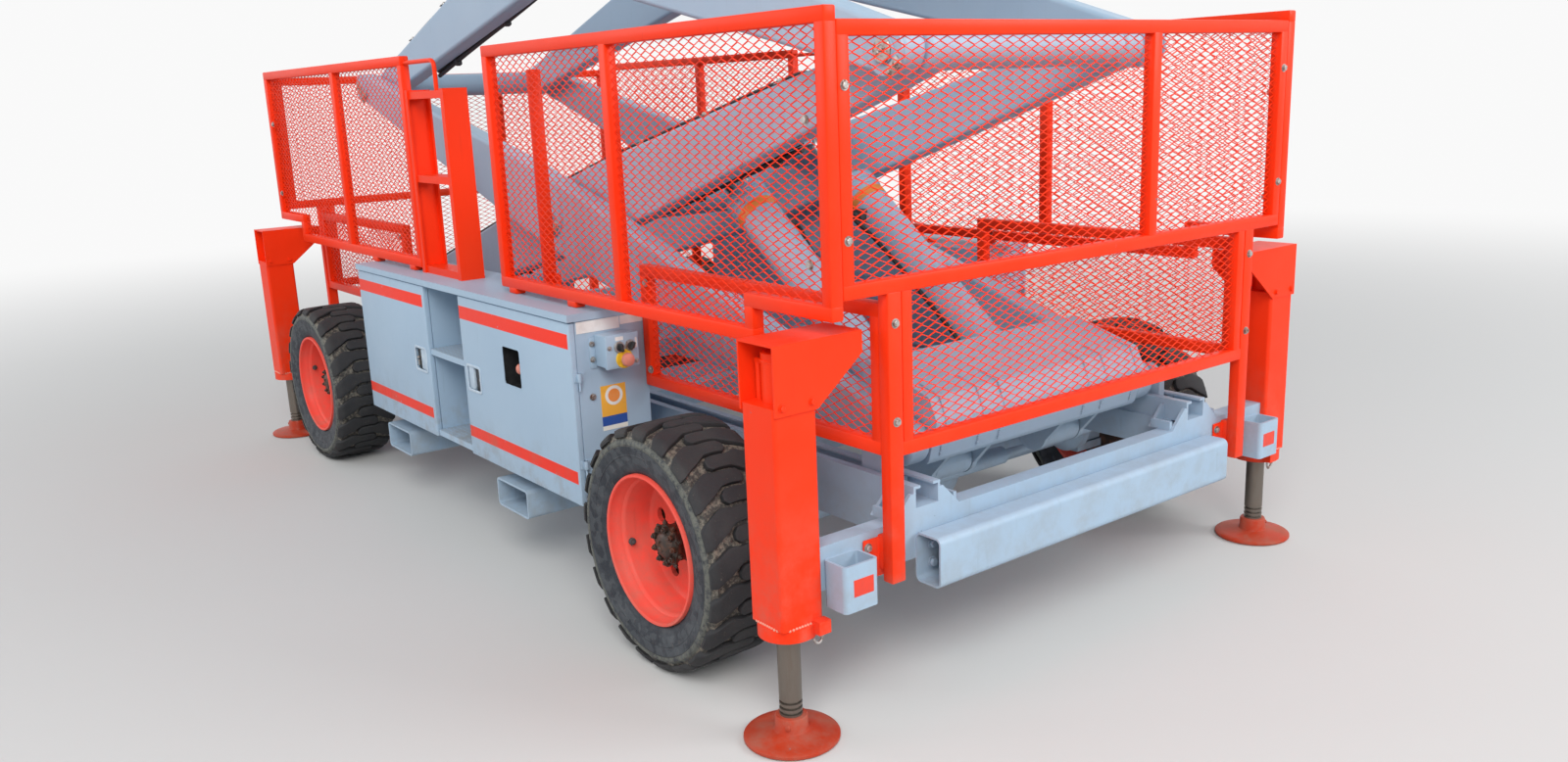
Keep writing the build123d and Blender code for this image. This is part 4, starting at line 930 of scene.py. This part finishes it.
def slot_cutter(low, high, corner):
    """Block with rounded edges along Y, to cut with."""
    cutter = block(low, high, 0)
    mesh = cutter.data
    bpy.ops.object.mode_set(mode="EDIT")
    bpy.ops.mesh.select_mode(type="EDGE")
    bpy.ops.mesh.select_all(action="DESELECT")
    bpy.ops.object.mode_set(mode="OBJECT")
    for edge in mesh.edges:
        run = mesh.vertices[edge.vertices[0]].co - mesh.vertices[edge.vertices[1]].co
        edge.select = abs(run.x) + abs(run.z) < 0.00001
    with editing("EDGE", None) as edit:
        edit.bevel(offset=corner, segments=6, affect="EDGES")
    return cutter


def on_doors(word, *pieces):
    """Set pieces made for the right-hand door on both doors. Each is (template, name, finish)."""
    for side, hand in ((-1, "right"), (1, "left")):
        door = f"door_{word}_{hand}"
        for template, name, material in pieces:
            placed(twin(template), flipped(y=-side))
            named(f"{name}_{hand}", material, door, instead=door if name.startswith("door_panel") else None)
    remove(*(piece[0] for piece in pieces))


for end, word in ((1, "front"), (-1, "rear")):
    x = LATCH[word]
    low, high = LATCH_Z
    hinged = (door_front_high.x if end > 0 else door_rear_low.x) - end * HINGE_GAP
    free = door_front_low.x if end > 0 else door_rear_high.x
    panel = block((hinged, DOOR_OUT, door_front_low.z), (free, DOOR_IN, DOOR_TOP), 0.004, 3)
    inner = LATCH_HALF - 0.006
    cut(panel, slot_cutter((x - inner, DOOR_OUT - 0.01, low + 0.006),
                           (x + inner, DOOR_OUT + 0.01, high - 0.006), 0.016))
    if end > 0:
        for depth, wider in ((-0.01, 0.0), (0.0035, 0.02)):
            cut(panel, slot_cutter((WINDOW[0] - wider, DOOR_OUT + depth, WINDOW[2] - wider),
                                   (WINDOW[1] + wider, DOOR_IN + 0.01, WINDOW[3] + wider), 0.012))
    smooth(30)
    axis = hinged + end * HINGE_OUT
    parts = [panel]
    for z in HINGE_Z:
        parts += [rod((axis, DOOR_IN, z + 0.0003), (axis, DOOR_IN, z + 0.03), 0.008, 24, 0.001),
                  rod((axis, DOOR_IN, z - 0.03), (axis, DOOR_IN, z + 0.001), 0.004, 16),
                  block((hinged, DOOR_OUT + 0.006, z + 0.0003), (hinged + end * 0.003, DOOR_IN, z + 0.03),
                        0.0008)]
    panel = joined(parts)
    ring = placed(rounded_frame(2 * LATCH_HALF, high - low, 0.011, 0.0045, 0.018),
                  at(x, DOOR_OUT + 0.001, (low + high) / 2))
    inner = LATCH_HALF - 0.01
    paddle = block((x - end * inner, DOOR_OUT + 0.0015, low + 0.01),
                   (x - end * 0.004, DOOR_OUT + 0.0098, high - 0.01), 0.003)
    lip = block((x - end * 0.007, DOOR_OUT - 0.0008, low + 0.014),
                (x - end * 0.001, DOOR_OUT + 0.0098, high - 0.014), 0.0018)
    latch = joined([ring, paddle, lip])
    hollow = block((x, DOOR_OUT + 0.008, low + 0.0065),
                   (x + end * inner, DOOR_OUT + 0.0099, high - 0.0065), 0.0006)
    catch_x = x + end * (inner - 0.01)
    catch = joined([rod((catch_x, DOOR_OUT + 0.009, 0.7), (catch_x, DOOR_OUT + 0.001, 0.7), 0.006, 16, 0.001),
                    block((catch_x - 0.003, DOOR_OUT + 0.002, 0.665),
                          (catch_x + 0.003, DOOR_OUT + 0.0085, 0.69), 0.001)])
    on_doors(word, (panel, f"door_panel_{word}", cabinet_grey), (latch, f"latch_{word}", latch_steel),
             (hollow, f"latch_well_{word}", black_plastic), (catch, f"latch_catch_{word}", zinc))

left, right, low, high = WINDOW
seal = placed(rounded_frame(right - left + 0.006, high - low + 0.006, 0.0055, 0.0025, 0.015),
              at((left + right) / 2, DOOR_OUT + 0.0015, (low + high) / 2))
well = block((left - 0.0185, DOOR_OUT + 0.0037, low - 0.0185), (right + 0.0185, WELL_BACK, high + 0.0185), 0)
drop_faces(lambda face: face.normal.y < -0.9)
modify("SOLIDIFY", thickness=0.003, offset=-1)
modify("BEVEL", width=0.001, segments=1)
KNOB = (0.606, 0.786)
stalk = rod((KNOB[0], -1.046, KNOB[1]), (KNOB[0], -1.082, KNOB[1]), 0.007, 20, 0.001)
gauge = rod((0.64, -1.044, 0.846), (0.64, -1.056, 0.846), 0.022, 32, 0.003)
inside = joined([well, stalk, gauge])
knob = lathe([(AXIS, 0.0), (0.012, 0.0), (0.0165, 0.005), (0.0195, 0.013), (0.0185, 0.02), (0.013, 0.0255),
              (0.006, 0.0275), (AXIS, 0.028)], 40)
placed(knob, at(KNOB[0], -1.08, KNOB[1]), spin(90, "X"))
on_doors("front", (inside, "window_well", black_plastic), (knob, "window_knob", pink_plastic),
         (seal, "window_edge", grey))


# Ground control box: shell on flanges, switches, stop button on its disc, screws and blank plates. Then the
# sticker and bolts of the cabinet's end
CAB_END = 1.058
BOX_FACE = 1.14
BOX_Y = (-1.033, -0.912)
BOX_Z = (0.857, 0.967)
ON_FACE = BOX_FACE - 0.0008
SWITCHES = ((-0.986, 20), (-0.944, -35))
SWITCH_Z = 0.926
STOP = at(ON_FACE, -0.968, 0.884) @ spin(90, "Y")
shell = block((1.0582, BOX_Y[0], BOX_Z[0]), (BOX_FACE, BOX_Y[1], BOX_Z[1]), 0.005, 3)
lid = block((BOX_FACE - 0.014, BOX_Y[0] - 0.002, BOX_Z[0] - 0.003),
            (BOX_FACE - 0.0006, BOX_Y[1] + 0.002, BOX_Z[1] + 0.002), 0.002)
wings = [block((1.0581, y - out * 0.004, 0.85), (1.0612, y + out * 0.02, 0.956), 0.001)
         for y, out in zip(BOX_Y, (-1, 1))]
joined([shell, lid] + wings)
named("control_box_shell", grey, instead="control_box")
bezel = lathe([(0.011, 0.0), (0.0195, 0.0), (0.0195, 0.004), (0.018, 0.006), (0.017, 0.01), (0.011, 0.01)], 40)
copies(bezel, [at(BOX_FACE - 0.001, y, SWITCH_Z) @ spin(90, "Y") for y, _ in SWITCHES])
named("switch_bezels", zinc)
knob = joined([block((0.0, -0.0045, -0.015), (0.024, 0.0045, 0.015), 0.0025),
               rod((0.003, 0, 0), (0.012, 0, 0), 0.0135, 32, 0.002)])
copies(knob, [at(BOX_FACE, y, SWITCH_Z) @ spin(turn, "X") for y, turn in SWITCHES])
named("switch_knobs", black_plastic)
placed(lathe([(0.012, 0.0), (0.032, 0.0), (0.032, 0.003), (0.0305, 0.0045), (0.012, 0.0045)], 56), STOP)
named("stop_disc", yellow_plate)
placed(lathe([(AXIS, 0.002), (0.012, 0.002), (0.012, 0.018), (0.0195, 0.018), (0.0225, 0.0205), (0.023, 0.027),
              (0.0205, 0.034), (0.012, 0.038), (AXIS, 0.039)], 48), STOP)
named("stop_button", pink_plastic)
screws = [facing((1.0608, y, z), (1, 0, 0), y * 9 + z)
          for y in (BOX_Y[0] - 0.0105, BOX_Y[1] + 0.0105) for z in (0.881, 0.934)]
screws += [facing((ON_FACE, y, z), (1, 0, 0), y) @ Matrix.Scale(0.8, 4)
           for y, z in ((-1.022, 0.926), (-0.921, 0.87))]
copies(bolt(0.0075, 0.006), screws)
named("box_screws", zinc)
joined([block((x0, y0, z0), (x1, y1, z1), 0.0004, 1) for x0, x1, y0, y1, z0, z1 in (
    (BOX_FACE - 0.0005, BOX_FACE + 0.0008, -0.998, -0.968, 0.9475, 0.9605),
    (BOX_FACE - 0.0005, BOX_FACE + 0.0008, -0.924, -0.9165, 0.915, 0.95),
    (1.0578, 1.0592, -1.096, -0.932, 0.974, 1.014), (1.0578, 1.0592, -0.929, -0.822, 0.984, 1.014))])
named("blank_plates", white_plate)
block((1.0578, STICKER_Y[0], STICKER_Z[0]), (1.0588, STICKER_Y[1], STICKER_Z[1]), 0.0003, 1)
named("check_sticker", sticker_print)
for radius, x, material, name in ((0.034, 1.0589, white_plate, "sticker_ring"),
                                  (0.023, 1.0592, sticker_orange, "sticker_disc")):
    placed(turned([(radius, 0.0), (radius, 0.0003)], 48), at(x, -0.972, 0.7455), spin(90, "Y"))
    named(name, material)
end_bolts = [facing((CAB_END, y, z), (1, 0, 0), y * 7)
             for y, z in ((-1.052, 0.753), (-0.803, 0.768), (-0.806, 0.955), (-1.045, 0.43), (-0.862, 0.43))]
copies(bolt(0.009, 0.006), end_bolts + [flipped(y=-1) @ place for place in end_bolts])
named("cabinet_end_bolts", zinc)

# Bolts on posts, brackets and bumpers, and the stake pockets' red fields
ahead, outward = (1, 0, 0), (0, -1, 0)
rows = ((END_X + HALF, -POST_Y, (0.86, 1.128), ahead), (END_X + HALF, -0.979, (1.36, 1.74), ahead),
        (END_X - 0.06, -GUARD_Y - HALF, (1.3, 1.66), outward))
guard_bolts = [facing((x, y, z), way, z) for x, y, heights, way in rows for z in heights]
guard_bolts += [facing((BEAM_OUT + 0.008, y, z), ahead, y + z)
                for y, z in ((-0.886, 0.425), (-0.77, 0.425), (-0.77, 0.502), (-0.886, 0.502))]
guard_bolts += [facing((PANEL_BACK + TUBE, -POST_Y - HALF, z), outward, z) for z in (0.82, 1.12)]
spread(copies(bolt(0.01, 0.007), guard_bolts), "guard_bolts", zinc)
bumper_bolts = [facing((2.2485, -y, z), ahead, z) for y in (0.64, 0.56) for z in (0.395, 0.452)]
spread(copies(bolt(0.013, 0.01), bumper_bolts), "bumper_bolts", grey)
spread(block((2.3295, -1.01, 0.418), (2.3308, -0.94, 0.466), 0.0004, 1), "stake_fields", red_field)


# Scissor arms: pin caps, keeper plates, hoses with clips, and larger lines in saddles on the lower three stages
ARM_LENGTH = 4.294
REST = math.radians(15.4)
COS, SIN = math.cos(REST), math.sin(REST)
RISE = ARM_LENGTH * SIN
PIN_REAR = -2.1
PIN_FRONT = PIN_REAR + ARM_LENGTH * COS
PIN_LOW = 0.69
ARM_END_HALF = 0.07
ARM_MIDDLE_HALF = 0.15
ARM_FLAT = 0.3
INNER_Y = 0.44
INNER_FACE = -INNER_Y + 0.045
OUTER_FACE = 0.598
PIN_END = 0.606
LEVELS = (1, 2, 3, 4)


def on_arm(level, along, across, y, outer=False):
    """Point on a level's inner or outer arms, along them from their low pin and across them upwards."""
    run = along * COS - across * SIN
    x = PIN_FRONT - run if outer else PIN_REAR + run
    return Vector((x, y, PIN_LOW + (level - 1) * RISE + along * SIN + across * COS))


def half_depth(along):
    """Half the depth of an arm at a place along it."""
    reach = max(0.0, abs(along - ARM_LENGTH / 2) - ARM_FLAT)
    return ARM_MIDDLE_HALF - (ARM_MIDDLE_HALF - ARM_END_HALF) * reach / (ARM_LENGTH / 2 - ARM_FLAT)


def pin_cap():
    """Cap of a pin's end with a grease nipple, standing on z = 0."""
    cap = turned([(0.036, 0.0), (0.036, 0.003), (0.033, 0.006), (0.015, 0.006), (0.013, 0.004)], 40)
    nipple = lathe([(AXIS, 0.004), (0.006, 0.004), (0.006, 0.008), (0.0035, 0.01), (0.0045, 0.013),
                    (AXIS, 0.016)], 12)
    return joined([cap, nipple])


def keeper():
    """Keeper plate with two bolts, standing on z = 0 beside a pin at the origin."""
    plate = block((0.044, -0.032, 0.0), (0.078, 0.032, 0.006), 0.002)
    return joined([plate, copies(bolt(0.008, 0.006), [at(0.061, y, 0.006) for y in (-0.018, 0.018)])])


for level in LEVELS:
    pins = [ARM_LENGTH / 2] + [0] * (level > 1) + [ARM_LENGTH] * (level < 4)
    for template, name, outer, face, turn in ((pin_cap, "pin_caps", False, PIN_END, 0.0),
                                              (keeper, "keepers", True, OUTER_FACE, 0.9)):
        copies(template(), [facing(on_arm(level, along, 0, side * face, outer), (0, side, 0), turn * side)
                            for along in pins for side in (-1, 1)])
        named(f"{name}_{level}", zinc, f"{'outer' if outer else 'inner'}_arms_{level}")

HOSE_RADIUS = 0.0065
SAG = 0.004
for level in LEVELS:
    runs = []
    for y in (-INNER_Y - 0.016, -INNER_Y + 0.004):
        spots = [(0.4 + 0.24 * number, SAG * (number % 2)) for number in range(15)]
        runs.append(hose([on_arm(level, along, half_depth(along) + HOSE_RADIUS + 0.0006 + sag, y)
                          for along, sag in spots], HOSE_RADIUS))
    joined(runs)
    named(f"arm_hoses_{level}", hose_black, f"inner_arms_{level}")
    clips = []
    for along in [0.5 + 0.45 * number for number in range(8)]:
        lean = math.atan2(half_depth(along + 0.05) - half_depth(along - 0.05), 0.1)
        clip = joined([block((-0.011, -0.024, 0.0), (0.011, 0.024, 0.0165), 0.004),
                       block((-0.011, -0.038, 0.0), (0.011, 0.038, 0.003), 0.001)])
        clips.append(placed(clip, Matrix.Translation(on_arm(level, along, half_depth(along), -INNER_Y - 0.006)),
                            Matrix.Rotation(-REST - lean, 4, "Y")))
    joined(clips)
    named(f"hose_clips_{level}", zinc, f"inner_arms_{level}")

LINE_RADIUS = 0.011
LINE_ROUTE = ((0.55, 0.0), (1.0, 0.004), (1.5, -0.003), (2.0, 0.0), (2.35, 0.003), (2.8, -0.003), (3.2, 0.003),
              (3.6, 0.0))


def line_depth(across, along):
    """How far across the arm's side a line runs, closer to the middle where the arm is slim."""
    return -across * (0.62 + 0.38 * half_depth(along) / ARM_MIDDLE_HALF)


for level in LEVELS[:3]:
    joined([hose([on_arm(level, along, line_depth(across, along) + wobble, INNER_FACE + LINE_RADIUS + 0.001)
                  for along, wobble in LINE_ROUTE], LINE_RADIUS, 12) for across in (0.1, 0.127)])
    named(f"side_hoses_{level}", hose_black, f"inner_arms_{level}")
    saddle = joined([block((-0.016, 0.0, -0.034), (0.016, 0.027, 0.034), 0.006),
                     placed(bolt(0.006, 0.005), facing((0, 0.027, 0), (0, 1, 0)))])
    copies(saddle, [Matrix.Translation(on_arm(level, along, line_depth(0.1135, along), INNER_FACE))
                    @ Matrix.Rotation(-REST, 4, "Y") for along in (0.8, 1.4, 1.9, 2.4, 2.95, 3.45)])
    named(f"hose_saddles_{level}", black_plastic, f"inner_arms_{level}")


# Lift cylinders: glands, coloured bands, ports and the pipes between them
FOOT = Vector((1.91985, 0.0, 0.55004))
HEAD = Vector((0.65978, 0.0, 1.54974))
AIM = (HEAD - FOOT).normalized()
CYL_Y = 0.27
BARREL = 1.285
PORTS = (0.115, BARREL - 0.16)
GLAND = [(0.0495, -0.06), (0.08, -0.06), (0.083, -0.056), (0.083, -0.04), (0.08, -0.036), (0.08, -0.03),
         (0.0835, -0.028), (0.0835, 0.004), (0.08, 0.009), (0.056, 0.009), (0.054, 0.005), (0.0495, 0.005)]
BAND = [(0.0782, -0.115), (0.0795, -0.115), (0.0795, -0.078), (0.0782, -0.078)]


def beside(side, along, out):
    """Point beside a barrel, out from its axis towards the machine's middle."""
    spot = FOOT + AIM * along
    return Vector((spot.x, side * (CYL_Y - out), spot.z))


barrels = [facing(beside(side, 0, 0), AIM) for side in (-1, 1)]
for outline, name, material in ((GLAND, "cylinder_glands", grey), (BAND, "cylinder_bands", sticker_orange)):
    copies(lathe([(radius, BARREL + height) for radius, height in outline], 56), barrels)
    named(name, material, "lift_barrels")
port = joined([block((-0.024, -0.024, 0.0), (0.024, 0.024, 0.034), 0.003),
               rod((0, 0, 0.033), (0, 0, 0.05), 0.013, 6, 0.001)])
copies(port, [facing(beside(side, along, 0.072), (0, -side, 0)) for side in (-1, 1) for along in PORTS])
named("cylinder_ports", cast, "lift_barrels")
first, last = PORTS
route = ((first, 0.118), (first + 0.02, 0.14), (first + 0.1, 0.11), (0.45, 0.096), (0.8, 0.096),
         (last - 0.1, 0.11), (last - 0.02, 0.14), (last, 0.118))
joined([hose([beside(side, along, out) for along, out in route], 0.0085, 12) for side in (-1, 1)])
named("cylinder_pipes", hose_black, "lift_barrels")

# Beam between the lowest outer arms: weld seams round it
SEAM = ((-0.0715, -0.03), (-0.0715, 0.086), (-0.0235, 0.1515), (0.06, 0.1515))
joined([weld([on_arm(1, along, across, y, True) for along, across in SEAM], 0.0042, 0.3)
        for y in (-0.46, -0.3, -0.205, 0.205, 0.3, 0.46)])
named("beam_welds", grey, "outer_arms_1")

# Grab loop over each boarding ladder
grab = hose([(x, -GUARD_Y, z) for x, z in ((-0.384, 1.9), (-0.345, 1.9), (-0.13, 1.9), (-0.095, 1.899),
                                           (-0.078, 1.884), (-0.077, 1.85), (-0.077, 1.782))], 0.009, 12)
spread(grab, "grab_loops", orange, FRONT_TWO)

# Post on a flat foot behind the right front mesh, and its twin
stand_parts = [block((0.508, -0.925, 1.049), (0.548, -0.885, 1.84), 0.004),
               block((0.47, -0.935, CAB_TOP), (0.7, -0.875, 1.05), 0.002),
               block((0.548, -0.909, 1.049), (0.61, -0.901, 1.11), 0.002),
               copies(bolt(0.009, 0.006), [at(x, -0.905, 1.0498) for x in (0.486, 0.64, 0.682)])]
spread(joined(stand_parts), "prop_posts", orange, FRONT_TWO)


# Power pack in the left cabinet: block, finned head, fan cowl, filters, pump and pipes
pack_low, pack_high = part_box("power_pack")
pack_half = (pack_high.y - pack_low.y) / 2


def in_pack(share, y, z, ahead=0.0):
    """Point at a share of the power pack's length, from its middle line and its base."""
    x = pack_low.x + (pack_high.x - pack_low.x) * share
    return x + ahead, (pack_low.y + pack_high.y) / 2 + y, pack_low.z + z


pieces = [block(in_pack(0.02, 0.02 - pack_half, 0.0005), in_pack(0.98, pack_half - 0.02, 0.035), 0.004),
          block(in_pack(0.2, -0.085, 0.034), in_pack(0.72, 0.085, 0.27), 0.016, 3),
          block(in_pack(0.22, -0.07, 0.265), in_pack(0.7, 0.07, 0.345), 0.01, 3),
          block(in_pack(0.03, -0.105, 0.06), in_pack(0.1, 0.105, 0.42), 0.012, 3)]
pieces += [block(in_pack(0.235, -0.09, 0.12, x), in_pack(0.235, 0.09, 0.262, x + 0.006), 0.002)
           for x in [0.029 * number for number in range(11)]]
cowl = lathe([(0.02, 0.0), (0.1, 0.0), (0.106, 0.006), (0.106, 0.05), (0.098, 0.056), (0.02, 0.056)], 48)
pieces.append(placed(cowl, at(*in_pack(0.1, 0, 0.23)), spin(90, "Y")))
for share, tall, radius in ((0.8, 0.17, 0.042), (0.9, 0.13, 0.036)):
    wide = radius * 1.05
    pieces.append(placed(turned([(radius, 0.0), (wide, 0.01), (wide, tall - 0.02), (radius * 0.8, tall)], 36),
                         at(*in_pack(share, -0.04, 0.036))))
pump = turned([(0.048, 0.0), (0.048, 0.09), (0.04, 0.11), (0.02, 0.115)], 36)
pieces.append(placed(pump, at(*in_pack(0.72, 0, 0.16)), spin(90, "Y")))
pieces.append(rod(in_pack(0.3, 0.055, 0.43), in_pack(0.66, 0.055, 0.43), 0.045, 36, 0.01))
bend = ((0.075, 0.32), (0.098, 0.35), (0.08, 0.4))
pieces += [hose([in_pack(share, y, z) for y, z in bend], 0.013, 12) for share in (0.34, 0.46, 0.58)]
joined(pieces)
named("engine_detail", cast, instead="power_pack")
routes = ((0.01, ((0.84, 0.01, 0.12), (0.84, 0.05, 0.3), (0.7, 0.06, 0.36), (0.6, -0.06, 0.4),
                   (0.4, -0.07, 0.38), (0.25, -0.06, 0.33))),
          (0.009, ((0.92, -0.04, 0.165), (0.92, -0.02, 0.25), (0.82, 0.04, 0.28), (0.74, 0.03, 0.22))))
joined([hose([in_pack(*spot) for spot in route], radius, 12) for radius, route in routes])
named("engine_pipes", hose_black)


# Platform: controls on their console, gate bolt and harness rings
CONSOLE_FACE = 0.9186
SWITCH_ROW = 6.44
TO_DECK = spin(90, "X")
panel = block((0.412, 0.9185, 6.385), (0.648, 0.9235, 6.55), 0.001)
guard_loop = hose([(0.404, 0.93, 6.545), (0.404, 0.88, 6.545), (0.404, 0.85, 6.54), (0.44, 0.846, 6.54),
                   (0.62, 0.846, 6.54), (0.656, 0.85, 6.54), (0.656, 0.88, 6.545), (0.656, 0.93, 6.545)],
                  0.007, 12)
joined([panel, guard_loop])
named("console_panel", black_plastic, "platform")
stick = lathe([(AXIS, 0.0), (0.03, 0.0), (0.026, 0.01), (0.02, 0.02), (0.01, 0.03), (0.007, 0.036),
               (0.007, 0.048), (0.014, 0.054), (0.016, 0.062), (0.012, 0.068), (AXIS, 0.07)], 32)
controls = [placed(stick, at(0.59, CONSOLE_FACE, SWITCH_ROW), TO_DECK)]
for x in (0.44, 0.475, 0.51):
    controls += [rod((x, CONSOLE_FACE, SWITCH_ROW), (x, 0.907, SWITCH_ROW), 0.011, 24, 0.002),
                 rod((x, 0.908, SWITCH_ROW), (x + 0.004, 0.89, SWITCH_ROW + 0.008), 0.0035, 12, 0.001)]
joined(controls)
named("console_controls", black_plastic, "platform")
placed(lathe([(AXIS, 0.0), (0.012, 0.0), (0.012, 0.012), (0.0195, 0.014), (0.0205, 0.021), (0.016, 0.028),
              (AXIS, 0.03)], 36), at(0.475, CONSOLE_FACE, 6.5), TO_DECK)
named("console_stop", pink_plastic, "platform")
rings = []
for x, y, inward in ((-1.7, 1.062, -1), (-0.6, 1.062, -1), (0.15, -1.062, 1), (0.75, -1.062, 1)):
    middle = y + inward * 0.004
    rings.append(block((x - 0.03, middle - 0.003, 6.01), (x + 0.03, middle + 0.003, 6.04), 0.001))
    ring = lathe([(0.022, -0.004), (0.026, -0.0055), (0.03, -0.004), (0.0315, 0.0), (0.03, 0.004),
                  (0.026, 0.0055), (0.022, 0.004), (0.0205, 0.0)], 32)
    rings.append(placed(ring, at(x, y + inward * 0.018, 6.0), spin(60 * inward, "X")))
joined(rings)
named("harness_rings", zinc, "platform")
joined([rod((-0.86, -1.049, 6.33), (-0.77, -1.049, 6.33), 0.007, 16, 0.002),
        rod((-0.85, -1.049, 6.33), (-0.85, -1.02, 6.33), 0.008, 16, 0.003)])
named("gate_bolt", zinc, "platform_gate")


# Floor that fades into the background, world, lamps and camera
material = bpy.data.materials.new("pale_floor")
tree = Tree(material)
far = tree.node("ShaderNodeVectorMath", {"operation": "LENGTH"},
                {0: tree.node("ShaderNodeTexCoord", output="Object")}, "Value")
seen = far.ramp(3.0, 13.0) * tree.node("ShaderNodeLightPath", output="Is Camera Ray")
ground = tree.node("ShaderNodeBsdfPrincipled", {}, {"Base Color": (0.6, 0.6, 0.59), "Roughness": 0.9})
glow = tree.node("ShaderNodeEmission", {}, {"Color": PALE})
tree.mixed_output("ShaderNodeOutputMaterial", seen, ground, glow)
floor = primitive("plane", size=120)
floor.name = "floor"
floor.data.materials.append(material)

world = bpy.data.worlds.new("studio")
bpy.context.scene.world = world
tree = Tree(world)
camera_ray, through, mirrored_ray = (tree.node("ShaderNodeLightPath", output=f"Is {kind} Ray")
                                     for kind in ("Camera", "Transmission", "Glossy"))
light = tree.node("ShaderNodeBackground", {}, {"Color": (0.93, 0.96, 1.0), "Strength": 0.55})
backdrop = tree.node("ShaderNodeBackground", {}, {"Color": PALE, "Strength": 1.0})
either = camera_ray.math("MAXIMUM", through).math("MAXIMUM", mirrored_ray)
tree.mixed_output("ShaderNodeOutputWorld", either, light, backdrop)


def lamp(name, place, target, size, power, colour):
    data = bpy.data.lights.new(name, "AREA")
    data.shape = "RECTANGLE"
    data.size, data.size_y = size
    data.energy = power
    data.color = colour
    obj = linked(name, data)
    obj.location = place
    obj.rotation_euler = (Vector(target) - Vector(place)).to_track_quat("-Z", "Y").to_euler()


lamp("key_lamp", (9.0, -7.0, 9.0), (0.5, 0.0, 0.9), (7.0, 7.0), 1150, (1.0, 0.985, 0.96))
lamp("fill_lamp", (-7.0, -9.0, 5.0), (0.0, 0.0, 1.0), (7.0, 5.0), 330, (0.95, 0.97, 1.0))
lamp("front_lamp", (10.0, 6.0, 6.0), (1.5, 0.0, 1.0), (6.0, 5.0), 680, (0.97, 0.98, 1.0))

camera = linked("camera", bpy.data.cameras.new("camera"))
camera.data.sensor_width = 36.0
camera.data.lens = 28.1
camera.data.clip_end = 200
right = Vector((0.6159, 0.7869, -0.0389)).normalized()
forward = Vector((-0.7716, 0.5924, -0.2319))
forward = (forward - right * forward.dot(right)).normalized()
axes = Matrix((right, right.cross(forward), -forward)).transposed().to_4x4()
camera.matrix_world = at(4.625, -2.978, 1.736) @ axes
bpy.context.scene.camera = camera
bpy.context.scene.view_settings.view_transform = "Standard"
